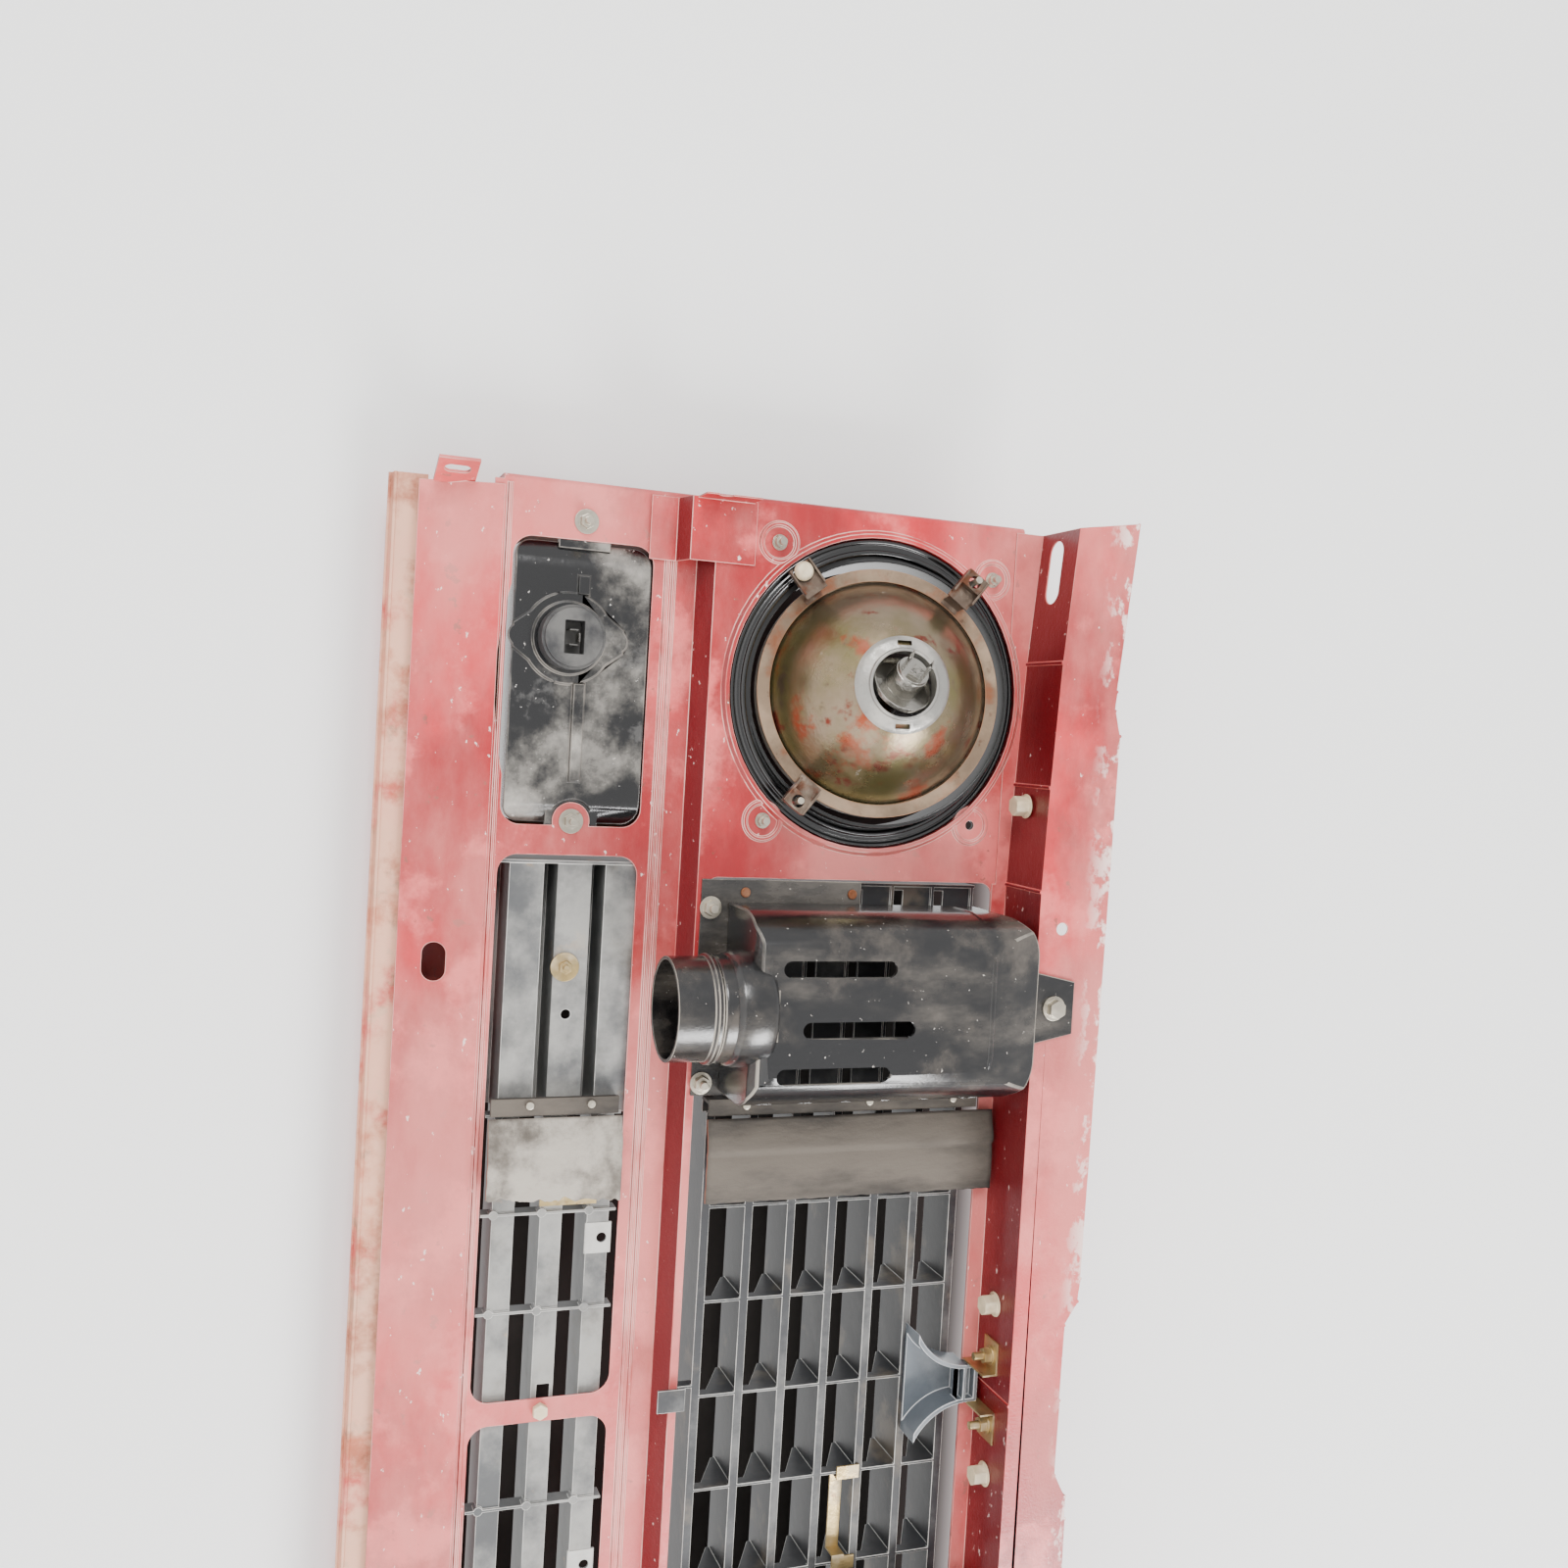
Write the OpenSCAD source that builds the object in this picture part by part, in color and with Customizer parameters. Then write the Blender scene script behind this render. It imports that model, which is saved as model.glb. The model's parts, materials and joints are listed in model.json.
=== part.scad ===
// Front panel of a small truck: pressed steel panel with the grilles, headlamps, turn lamps and air intake
// fixed to it. +X is the vehicle's right, +Y is forward and +Z is up. The origin is on the centre line, on
// the rear face of the top ledge, level with the ledge's bolt holes.

/* [Panel] */
// Centre line to either end
half_len = 636; // [600:1:780]
// Thickness of the pressed sheet
sheet = 1.2; // [0.8:0.1:1.8]
// Depth of the wall between the ledge and the lamp face
wall_d = 53; // [42:1:66]
// Step forward from the lamp face to the lower frame
step_d = 18; // [12:1:24]
// Ledge width above the line of its bolt holes
ledge_up = 36; // [30:1:44]
// Wall foot below the line of the ledge holes
ledge_down = 19; // [15:1:24]
// Rise of the wall towards both ends
wall_flare = 13; // [0:1:18]
// Radius of the ledge bolt holes
ledge_hole_r = 4.5; // [3.5:0.1:5.5]
// Distance of the ledge holes from the centre line
ledge_hole_x = 348; // [280:1:420]
// Height of the openings in the lower frame
lower_open_h = 96.5; // [78:0.5:118]
// Width of the bar that divides the lower grille opening
crossbar_w = 16.5; // [12:0.5:22]
// Corner radius of the lower openings
corner_r = 13; // [8:1:18]
// Depth that the outer skin reaches ahead of the lower frame
skin_d = 52; // [44:1:64]

/* [Headlamp] */
// Radius of the headlamp lens
lens_r = 89; // [76:1:104]
// Clearance of the lens in its bucket
lens_gap = 5; // [4:0.5:7]
// Distance of the headlamp axis from the panel's end
lamp_inset = 126.7; // [124:0.1:150]
// Lean of the lamp axis against the panel, towards the road at its rear
lamp_rake = 8; // [0:0.5:9]
// Outward lean of the lamp axis at its rear
lamp_toe = 4.5; // [0:0.5:6]
// Depth of the reflector bowl
bowl_d = 62; // [50:1:75]
// Radius of the bulb neck's bore
neck_r = 22.3; // [20:0.1:26]
// Tilt of the loose bulb in its neck
bulb_tilt = 34; // [0:1:36]
// Radius of the aiming screws
aim_r = 2.4; // [2:0.1:3]

/* [Turn lamp] */
// Length of the turn lamp opening
turn_len = 194; // [160:1:230]
// Radius of the bulb socket
socket_r = 21.7; // [18:0.1:26]
// Reach of the bulb socket behind the housing
socket_h = 17; // [12:1:24]

/* [Grille] */
// Pitch of the upright ribs
rib_pitch = 68.6; // [60:0.1:82]
// Slats in the upper grille
upper_slats = 7; // [5:1:8]
// Slats in the lower grille
lower_slats = 3; // [2:1:4]
// Depth of the slats
slat_d = 46; // [38:1:56]
// Thickness of the slats
slat_t = 2.4; // [1.8:0.1:3.2]

/* [Intake] */
// Outside radius of the hose spigot
spigot_r = 35; // [29:0.5:40]
// Distance of the duct's centre from the centre line
duct_x = 291; // [288:1:300]
// Width of the duct body
duct_w = 133; // [112:1:136]
// Height of the duct body above the lamp face
duct_h = 72; // [70:1:84]
// Wall of the moulded duct
duct_t = 2.6; // [2:0.1:3.4]
// Length of the louvres in the duct
louvre_l = 82; // [66:1:98]

/* [Flaps] */
// Reach of the rubber flaps over the grille
flap_w = 60; // [50:1:70]
// Thickness of the rubber
rubber = 3; // [2:0.5:4]

/* [Hidden] */
$fn = 64;
LEFT = -1;
RIGHT = 1;
eps = 0.01;
joint_gap = 0.3; // between pieces that move against each other

// Rear faces, front is +Y
ledge_y = 0;
face_y = ledge_y + wall_d;
frame_y = face_y + step_d;

// Heights from the ledge holes down
bucket_r = lens_r + lens_gap; // inside of the bucket's tube
bucket_t = 2.5;
lamp_open_r = bucket_r + bucket_t + 14.9;
rim_r = lamp_open_r + 5.5; // raised rim round the lamp opening
foot_z = ledge_y - ledge_down;
foot_strip = 12.3;
open_top = foot_z - foot_strip;
open_bot = open_top - 2 * lamp_open_r;
lip_h = 6;
step_top = open_bot - lip_h;
step_bot = step_top - 8;
low_top = step_bot - 31;
low_bot = low_top - lower_open_h;
bend_z = low_bot - 14.6;
strip_z = bend_z - 47;
strip_y = frame_y + 18;
hem_z = strip_z - 15;
lamp_z = open_top - lamp_open_r + 8.5;
lamp_x = half_len - lamp_inset;
upper_half = lamp_x - lamp_open_r - 23.5; // half the length of the upper grille opening
lower_half = upper_half + 11; // half the length of the lower grille opening
turn_x = lower_half + 20.5 + turn_len / 2;
turn_z = (low_top + low_bot) / 2;
grid_half = 3 * rib_pitch;
flange_d = 26; // end flanges
bend_r = 4;

// Fasteners: thread radius, nut or head across flats and its height
m6 = 3;
m6_af = 10;
m6_h = 5;

// ---- helpers ----

// A flat outline in X and Z becomes a plate whose rear face is at y and which reaches t forward
module plate(y, t) {
    translate([0, y + t, 0]) rotate([90, 0, 0]) linear_extrude(t) children();
}

// An outline in Y and Z becomes a rail of length l centred on x
module rail(x, l) {
    translate([x - l / 2, 0, 0]) rotate([90, 0, 90]) linear_extrude(l) children();
}

// A round bar along Y from y0 to y1
module bar_y(x, z, r, y0, y1) {
    translate([x, y1, z]) rotate([90, 0, 0]) cylinder(r = r, h = y1 - y0);
}

// A rectangle with round corners, between two corners
module round_rect(x0, z0, x1, z1, r) {
    translate([x0 + r, z0]) square([x1 - x0 - 2 * r, z1 - z0]);
    translate([x0, z0 + r]) square([x1 - x0, z1 - z0 - 2 * r]);
    for (x = [x0 + r, x1 - r], z = [z0 + r, z1 - r]) translate([x, z]) circle(r);
}

// A ribbon of thickness t along a path of points, on the path's left
module ribbon(path, t) {
    n = len(path) - 1;
    for (i = [0 : n - 1]) {
        d = path[i + 1] - path[i];
        u = [-d[1], d[0]] * t / norm(d);
        polygon([path[i], path[i + 1], path[i + 1] + u, path[i] + u]);
    }
    for (i = [1 : n - 1]) translate(path[i]) circle(t, $fn = 24);
}

// A hexagon across flats af
module hex(af) {
    circle(r = af / sqrt(3), $fn = 6);
}

// A stud with a washer and nut behind a face at y, the end of the stud pointing rearward
module stud_and_nut(x, z, y, grip, r = m6, af = m6_af, washer = 8) {
    bar_y(x, z, washer, y - 1.2, y);
    translate([x, y - 1.2, z]) rotate([90, 0, 0]) linear_extrude(m6_h) hex(af);
    bar_y(x, z, r, y - 1.2 - m6_h - 5, y + grip);
}

// Children placed in a headlamp's own frame: z is rearward along its axis, y is up
module at_lamp(s) {
    translate([s * lamp_x, face_y, lamp_z]) rotate([lamp_rake, 0, lamp_toe * s]) rotate([90, 0, 0]) children();
}

// ---- pressed steel ----

// Points of the wall's foot and of the ledge's outer edge, from the centre to one end
foot_line = [[0, 0], [upper_half, 0], [lamp_x - 60, 2], [lamp_x + 30, 0.45 * wall_flare], [half_len, wall_flare]];
notch_half = 64;
edge_line = [
    [half_len + 8, 8], [lamp_x + 12, -3], [lamp_x - 2, -3.5], [lamp_x - 20, 2], [notch_half + 26, -2],
    [notch_half + 9, -3], [notch_half - 8, -13], [0, -13]
];

function mirrored(points) = [for (i = [len(points) - 1 : -1 : 0]) [-points[i][0], points[i][1]]];
function raised(points, dz) = [for (p = points) [p[0], p[1] + dz]];
function tail(points) = [for (i = [1 : len(points) - 1]) points[i]];

foot_path = concat(mirrored(raised(foot_line, foot_z)), tail(raised(foot_line, foot_z)));
edge_path = concat(raised(edge_line, ledge_up), tail(mirrored(raised(edge_line, ledge_up))));

stud_out = turn_len / 2 + 13; // outer stud of a turn lamp, from the lamp's middle
stud_in = turn_len / 2 - 3; // its inner stud, on a tab that reaches into the opening
tab_r = 13;
boss_r = 15;

// Bolts of a headlamp bucket, from its axis, towards the panel's end first
function bucket_holes(s) = [[s * 101, -80], [s * 90, 88], [s * -94, -81], [s * -92, 82]];

module lamp_holes(s) {
    translate([s * lamp_x, lamp_z]) circle(lamp_open_r, $fn = 128);
    for (b = bucket_holes(s)) translate([s * lamp_x + b[0], lamp_z + b[1]]) circle(m6 + 0.4);
}

// The lower opening for a turn lamp, bowed below and with a tab for the inner stud
module turn_hole(s) {
    difference() {
        union() {
            round_rect(s * turn_x - turn_len / 2, low_bot, s * turn_x + turn_len / 2, low_top, corner_r);
            intersection() {
                translate([s * turn_x, turn_z + 260 - lower_open_h / 2 - 8]) circle(260, $fn = 128);
                translate([s * turn_x - turn_len / 2 + 25, bend_z + 4]) square([turn_len - 50, lower_open_h / 2]);
            }
        }
        translate([s * (turn_x - stud_in), turn_z]) circle(tab_r);
    }
}

// Face of the lamps, lip of the grille opening and the sloping step down to the lower frame
module upper_face() {
    plate(face_y, sheet) difference() {
        polygon(concat(foot_path, [[half_len, step_top], [-half_len, step_top]]));
        round_rect(-upper_half, open_bot, upper_half, open_top, 9);
        for (s = [LEFT, RIGHT]) lamp_holes(s);
    }
    rail(0, 2 * half_len) polygon([
        [face_y, step_top], [face_y + sheet, step_top + 1], [frame_y + sheet, step_bot + 1], [frame_y, step_bot]
    ]);
}

module lower_frame() {
    plate(frame_y, sheet) difference() {
        translate([-half_len, bend_z]) square([2 * half_len, step_bot + 1 - bend_z]);
        for (s = [LEFT, RIGHT]) {
            turn_hole(s);
            round_rect(
                s * (lower_half + crossbar_w / 2) / 2 - (lower_half - crossbar_w / 2) / 2, low_bot,
                s * (lower_half + crossbar_w / 2) / 2 + (lower_half - crossbar_w / 2) / 2, low_top, corner_r);
            for (x = [turn_x - stud_in, turn_x + stud_out]) translate([s * x, turn_z]) circle(m6 + 0.4);
        }
        translate([0, turn_z]) circle(m6 + 0.4);
    }
}

// Raised rims and beads pressed into the sheet, standing rearward
module pressed_beads() {
    for (s = [LEFT, RIGHT]) {
        translate([s * lamp_x, face_y + eps, lamp_z]) rotate([90, 0, 0]) rotate_extrude($fn = 128)
            polygon([[lamp_open_r, 0], [rim_r, 0], [rim_r - 2.5, 2.5], [lamp_open_r, 2.5]]);
        for (b = bucket_holes(s))
            translate([s * lamp_x + b[0], face_y + eps, lamp_z + b[1]]) rotate([90, 0, 0]) rotate_extrude()
                polygon([[boss_r - 4, 0], [boss_r, 0], [boss_r - 1, 1.2], [boss_r - 3, 1.2]]);
    }
    for (z = [low_top + 8, low_top + 13, low_bot - 6])
        rail(0, 2 * half_len - 4) polygon([[frame_y + eps, z], [frame_y - 1.2, z + 1], [frame_y - 1.2, z + 2.5],
            [frame_y + eps, z + 3.5]]);
}

// A forward flange at one end, with its bend, from z0 to z1 on a face at y
module end_flange(s, y, z0, z1) {
    translate([s * half_len, y, z0]) linear_extrude(z1 - z0) difference() {
        union() {
            translate([s > 0 ? -eps : -bend_r, bend_r]) square([bend_r + eps, flange_d - bend_r]);
            intersection() {
                translate([0, bend_r]) circle(bend_r);
                translate([s > 0 ? 0 : -bend_r, 0]) square([bend_r, bend_r]);
            }
        }
        translate([s > 0 ? -2 * bend_r : 0, sheet]) square([2 * bend_r, flange_d]);
        translate([0, bend_r]) circle(bend_r - sheet);
        translate([s > 0 ? -eps * 2 : -bend_r + sheet, bend_r - eps]) square([bend_r - sheet + eps * 2, flange_d]);
    }
}

module front_panel() {
    color("firebrick") {
        upper_face();
        lower_frame();
        pressed_beads();
        for (s = [LEFT, RIGHT]) {
            end_flange(s, face_y, step_top, foot_z - 2);
            end_flange(s, frame_y, bend_z + 6, step_bot);
        }
    }
}

rail_bolt_x = [notch_half, lamp_x - 75];
rail_bolt_y = ledge_y + 0.55 * wall_d;
oval_x = lamp_x + 97; // oval hole in the wall
oval_r = 9;
oval_half = 14;
gusset_bolt_x = 26;

// Foot strip welded on the lamp face, wall and ledge, with the lip along its outer edge
module top_rail() {
    color("firebrick") difference() {
        union() {
            plate(face_y - sheet, sheet) difference() {
                polygon(concat(foot_path, [[half_len, open_top + 3], [upper_half, open_top + 3],
                    [upper_half, open_top], [-upper_half, open_top], [-upper_half, open_top + 3],
                    [-half_len, open_top + 3]]));
                for (s = [LEFT, RIGHT]) translate([s * lamp_x, lamp_z]) circle(rim_r + 0.2, $fn = 128);
            }
            plate(ledge_y, wall_d - eps) ribbon(foot_path, sheet);
            plate(ledge_y, sheet) polygon(concat(foot_path, edge_path));
            plate(ledge_y, 7) ribbon(edge_path, sheet);
        }
        for (s = [LEFT, RIGHT]) {
            bar_y(s * ledge_hole_x, 0, ledge_hole_r, ledge_y - 1, ledge_y + 3);
            bar_y(s * duct_x, -4.5, m6 + 0.4, ledge_y - 1, ledge_y + 3);
            for (dx = [-oval_half, oval_half]) translate([s * oval_x + dx, rail_bolt_y, foot_z - 2])
                cylinder(r = oval_r, h = wall_flare + 8);
            translate([s * oval_x - oval_half, rail_bolt_y - oval_r, foot_z - 2])
                cube([2 * oval_half, 2 * oval_r, wall_flare + 8]);
            for (x = concat(rail_bolt_x, [gusset_bolt_x])) translate([s * x, rail_bolt_y, foot_z - 2])
                cylinder(r = m6 + 0.4, h = 8);
        }
    }
}

drain_x = 311; // oval drain holes from the centre line
tab_w = 27;
tab_len = 30;
tab_bend = 68;

// Sloping strip that closes the bottom rail, with a slotted tab at each end
module bottom_strip() {
    color("firebrick") difference() {
        union() {
            rail(0, 2 * half_len - 8) polygon([
                [frame_y - sheet, bend_z + 7], [frame_y - eps, bend_z + 7], [frame_y - eps, bend_z],
                [strip_y, strip_z], [strip_y - sheet, strip_z - 0.4], [frame_y - sheet, bend_z - 0.4]
            ]);
            for (s = [LEFT, RIGHT]) end_tab(s);
        }
        for (s = [LEFT, RIGHT]) translate([s * drain_x, 0, (bend_z + strip_z) / 2]) {
            for (dx = [-5.5, 5.5]) bar_y(dx, 0, 7.5, frame_y - 5, strip_y + 5);
            translate([-5.5, frame_y - 5, -7.5]) cube([11, strip_y - frame_y + 10, 15]);
        }
    }
}

// A tab bent rearward off the strip's end; its slot takes a bolt into the wing
module end_tab(s) {
    translate([s * (half_len - 4.5), (frame_y + strip_y) / 2 + 1.2, (bend_z + strip_z) / 2 - 2])
        rotate([0, 0, s > 0 ? -tab_bend : tab_bend]) translate([s > 0 ? 0 : -tab_len, 0, 0]) difference() {
            translate([0, -sheet, -tab_w / 2]) cube([tab_len, 2 * sheet, tab_w]);
            for (dz = [-4, 4]) translate([tab_len / 2 + s * 3, 3, dz]) rotate([90, 0, 0]) cylinder(r = 4.5, h = 6);
            translate([tab_len / 2 + s * 3 - 4.5, -3, -4]) cube([9, 6, 8]);
        }
}

skin_y = frame_y + skin_d;

// Painted outer skin below the lower grille, hemmed to the closing strip
module outer_skin() {
    color("indianred") {
        rail(0, 2 * half_len) ribbon([
            [strip_y + 3, strip_z + 6], [strip_y + 5, hem_z], [strip_y + 12, hem_z - 3], [skin_y - 6, hem_z + 2],
            [skin_y, hem_z + 12], [skin_y - 2, bend_z + 2], [skin_y - 10, bend_z + 8], [frame_y + 8, bend_z + 5],
            [frame_y + sheet + 0.1, bend_z + 5 - 0.1]
        ], sheet);
    }
}

// Plate that ties the lower frame to the lamp face at one end, with a notched ear for the wing bolt
plate_in = 44; // how far the joint plates reach in from the ends
module joint_plate(s) {
    y = face_y - 2 * sheet;
    color("indianred") difference() {
        union() {
            rail(s * (half_len - plate_in / 2), plate_in) polygon([
                [frame_y - sheet - 1.3, low_top - 4], [frame_y - 1.3, low_top - 4], [frame_y - 1.3, low_top + 17],
                [face_y - 2.6 + sheet, low_top + 22], [face_y - 2.6 + sheet, open_bot + 22],
                [face_y - 2.6, open_bot + 22], [face_y - 2.6, low_top + 20], [frame_y - sheet - 1.3, low_top + 15]
            ]);
            translate([s * (half_len - sheet / 2) - sheet / 2, face_y - 22, low_top + 24])
                cube([sheet, 22, 40]);
        }
        translate([s * half_len - 5, face_y - 22, low_top + 38]) rotate([0, 90, 0]) cylinder(r = 5, h = 10);
    }
}

// ---- grilles ----

grille_back = face_y + 12; // rear edge of the slats
grille_front = grille_back + slat_d;
grille_top = open_top + 3;
grille_bot = open_bot - 1;
slat_pitch = (2 * lamp_open_r - 26.4) / (upper_slats - 1);
function slat_z(i) = open_bot + 16 + i * slat_pitch;
gusset_base = slat_z(upper_slats - 2);

// One upright rib: a shallow bar along the rear and a triangular gusset under each slat
module rib(x, z0, z1, back, slats) {
    translate([x - 1, back, z0]) cube([2, 9, z1 - z0]);
    for (z = slats) translate([x - 1, 0, 0]) rotate([90, 0, 90]) linear_extrude(2)
        polygon([[back + 8.5, z - 21], [back + 8.5, z + eps], [back + slat_d - 4, z + eps], [back + slat_d - 4, z - 3]]);
}

module upper_grille() {
    slats = [for (i = [0 : upper_slats - 1]) slat_z(i)];
    cell = [-3 : 3];
    color("dimgray") difference() {
        union() {
            for (z = slats) {
                translate([-upper_half + 3, grille_back, z]) cube([2 * upper_half - 6, slat_d, slat_t]);
                translate([-grid_half, grille_back, z - 2]) cube([2 * grid_half, 2.4, slat_t + 4]);
            }
            for (i = cell) rib(i * rib_pitch, slats[0], slats[upper_slats - 1] + 1, grille_back, tail(slats));
            for (s = [LEFT, RIGHT]) {
                // floor of the closed part at each side
                translate([s > 0 ? grid_half : -upper_half + 3, grille_back + 2, grille_bot + 12])
                    cube([upper_half - grid_half - 3, 2.2, grille_top - grille_bot - 22]);
                translate([s * (upper_half - 4) - 1.2, grille_back, grille_bot + 12])
                    cube([2.4, slat_d, grille_top - grille_bot - 22]);
            }
            grille_hook(-8);
        }
        // grooves of the closed part, left open to the rear between pairs of walls
        for (s = [LEFT, RIGHT], z = slats)
            translate([s > 0 ? grid_half + 6 : -upper_half + 8, grille_back + 1, z + slat_t])
                cube([upper_half - grid_half - 14, 6, 8]);
    }
}

// A lug under the lowest slat that hooks over the opening's lip
module grille_hook(x) {
    translate([x - 1, face_y - 7, open_bot + 0.5]) cube([2, grille_back + 9 - face_y + 7, 3.5]);
    translate([x - 1, grille_back, open_bot + 0.5]) cube([2, 9, 18]);
    translate([x - 8, face_y - 7, open_bot - 16]) cube([16, 2, 20]);
}

low_back = frame_y + sheet + 3; // rear edge of the lower grille
low_pitch = 33.2;
function low_slat_z(i) = low_bot + 9 + i * low_pitch * (lower_open_h / 96.5) * 3 / lower_slats;
low_closed = grid_half; // the grille is closed outside this

module lower_grille() {
    slats = [for (i = [0 : lower_slats - 1]) low_slat_z(i)];
    z0 = low_bot - 7;
    z1 = low_top + 9;
    groove = 9.5;
    color("gray") difference() {
        union() {
            for (z = slats) {
                translate([-lower_half + 5, low_back, z]) cube([2 * lower_half - 10, slat_d - 8, slat_t]);
                translate([-lower_half + 5, low_back, z]) cube([2 * lower_half - 10, slat_t, 15.5]);
            }
            for (i = [-3 : 3]) {
                translate([i * rib_pitch - 1, low_back - 1.5, z0 + 8]) cube([2, 12, z1 - z0 - 18]);
                for (z = slats) bar_y(i * rib_pitch, z + 1, 3.2, low_back - 1.5, low_back + 6);
            }
            for (s = [LEFT, RIGHT]) {
                for (z = slats) {
                    translate([s > 0 ? low_closed : -lower_half + 5, low_back, z])
                        cube([lower_half - low_closed - 5, slat_t, low_pitch - groove]);
                    translate([s > 0 ? low_closed : -lower_half + 5, low_back, z + low_pitch - groove - slat_t])
                        cube([lower_half - low_closed - 5, slat_d - 8, slat_t]);
                    translate([s > 0 ? low_closed : -lower_half + 5, low_back + slat_d - 10, z - groove])
                        cube([lower_half - low_closed - 5, 2, groove + 1]);
                }
                translate([s * (lower_half - 5) - 1.2, low_back - 1, z0 + 6]) cube([2.4, slat_d - 7, z1 - z0 - 14]);
                // lug with a screw hole, high on the second rib
                translate([s * 117 - 11, low_back, slats[lower_slats - 1] - 1]) cube([22, 2, 19]);
            }
        }
        for (s = [LEFT, RIGHT]) {
            bar_y(s * 117, slats[lower_slats - 1] + 11, 3.5, low_back - 3, low_back + 8);
            bar_y(s * 275, slats[1] + 10.5, 3.4, low_back - 3, low_back + 8);
        }
        translate([-16, low_back - 5, slats[lower_slats > 1 ? 1 : 0] + 4]) cube([12, 12, 9]);
    }
}

gusset_top = open_top - 1;
gusset_y = face_y - 12; // rear edge of the gusset
gusset_front = grille_back - 0.05;
gusset_half = 14;
gusset_wide = 70;
gusset_wall = 2.5;

// Moulded web that carries the grille's top edge to the middle of the rail
module gusset_outline(half) {
    curve = gusset_wide - gusset_half - 8;
    difference() {
        polygon([[-gusset_wide, gusset_base + 1], [gusset_wide, gusset_base + 1], [gusset_wide, gusset_top],
            [-gusset_wide, gusset_top]]);
        for (s = [LEFT, RIGHT]) translate([s * (half + curve), gusset_top + 2]) circle(curve);
        for (s = [LEFT, RIGHT]) translate([s * (half + curve) - (s < 0 ? 80 : 0), gusset_top - curve + 2])
            square([80, 80]);
    }
}

module grille_gusset() {
    color("slategray") {
        plate(gusset_front - gusset_wall, gusset_wall) gusset_outline(gusset_half);
        difference() {
            plate(gusset_y, gusset_front - gusset_y) gusset_outline(gusset_half);
            plate(gusset_y - 1, gusset_front - gusset_wall - gusset_y + 1)
                translate([0, -gusset_wall]) gusset_outline(gusset_half - gusset_wall);
        }
        difference() {
            translate([-gusset_half, gusset_y, gusset_top - 7])
                cube([2 * gusset_half, face_y - sheet - 0.2 - gusset_y, foot_z - 4 - gusset_top + 7]);
            translate([-gusset_half + gusset_wall, gusset_y - 1, gusset_top - 12])
                cube([2 * (gusset_half - gusset_wall), face_y - sheet - gusset_wall - gusset_y, foot_z - gusset_top + 5]);
        }
    }
}

// Plated angles on both sides of the gusset's neck, their ears bolted to the wall
ear_z = foot_z - 1.5;
module gusset_brackets() {
    ear = gusset_bolt_x + 12 - gusset_half;
    color("khaki") for (s = [LEFT, RIGHT]) difference() {
        union() {
            translate([s * (gusset_half + 0.75) - 0.75, rail_bolt_y - 10, foot_z - 12])
                cube([1.5, face_y - sheet - rail_bolt_y + 10 - 0.2, 12]);
            translate([s * (gusset_half + ear / 2) - ear / 2, rail_bolt_y - 10, ear_z]) cube([ear, 20, 1.5 - eps]);
        }
        translate([s * gusset_bolt_x, rail_bolt_y, ear_z - 1]) cylinder(r = m6 + 0.4, h = 4);
    }
}

module gusset_bolts() {
    color("darkgoldenrod") for (s = [LEFT, RIGHT]) translate([s * gusset_bolt_x, rail_bolt_y, 0]) {
        translate([0, 0, ear_z - 1.5]) cylinder(r = 7, h = 1.5);
        translate([0, 0, ear_z - 1.5 - m6_h]) linear_extrude(m6_h) hex(m6_af);
        translate([0, 0, ear_z - 14]) cylinder(r = m6, h = 14 + sheet + 3);
    }
}

// Plated strip across one column of the upper grille that holds the badge
module badge_bracket() {
    z = slat_z(3) + slat_t + 14;
    w = 10;
    color("khaki") for (x = [rib_pitch - 1, 2 * rib_pitch - 1]) translate([x - 4, grille_back - 1.5, z])
        cube([10, 1.5, 18]);
    color("khaki") {
        translate([rib_pitch + 3, grille_back - 1.5, z]) cube([1.5, 14, w]);
        translate([2 * rib_pitch - 6.5, grille_back - 1.5, z]) cube([1.5, 14, w]);
        translate([rib_pitch + 3, grille_back + 11, z]) cube([rib_pitch - 8, 1.5, w]);
    }
}

// Plates, washers and nuts that hold the lower grille
module grille_fixings() {
    z = low_slat_z(1);
    color("khaki") for (s = [LEFT, RIGHT]) {
        translate([s * 155 - 13, low_back - 1.6, z - 1]) cube([26, 1.5, 40]);
        bar_y(s * 155, z + 8, 9, low_back - 2.8, low_back - 1.6);
        bar_y(s * 308, z + 8, 10, low_back - 1.3, low_back - 0.1);
        translate([s * 308, low_back - 1.3, z + 8]) rotate([90, 0, 0]) linear_extrude(3.5) hex(8);
        bar_y(s * 308, z + 8, 2.2, low_back - 8, low_back - 1);
        translate([s * 155, low_back - 2.8, z + 8]) rotate([90, 0, 0]) linear_extrude(3.5) hex(8);
        bar_y(s * 155, z + 8, 2.2, low_back - 7, low_back - 2);
    }
}

module rail_bolts() {
    color("wheat") for (s = [LEFT, RIGHT], x = rail_bolt_x) translate([s * x, rail_bolt_y, 0]) {
        translate([0, 0, foot_z - 1.3]) cylinder(r = 9, h = 1.3);
        translate([0, 0, foot_z - 11.3]) linear_extrude(10) hex(13);
        translate([0, 0, foot_z - 2]) cylinder(r = m6, h = sheet + 8);
    }
}

module crossbar_bolts() {
    color("wheat") {
        translate([0, frame_y, turn_z]) rotate([90, 0, 0]) linear_extrude(5) hex(10);
        bar_y(0, turn_z, m6, frame_y - 1, low_back - 1.5 - eps);
    }
}

// ---- air intake ----

duct_bot = step_top + 23; // lower end of the duct's body
duct_top = foot_z - 3; // where it passes the wall
duct_end = duct_top + 1; // end of its rounded corners
duct_rear = face_y - duct_h;
shoulder_z = duct_top - 42;
base_y = face_y - 1.5;
spigot_y = face_y - spigot_r - 8;

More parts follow.
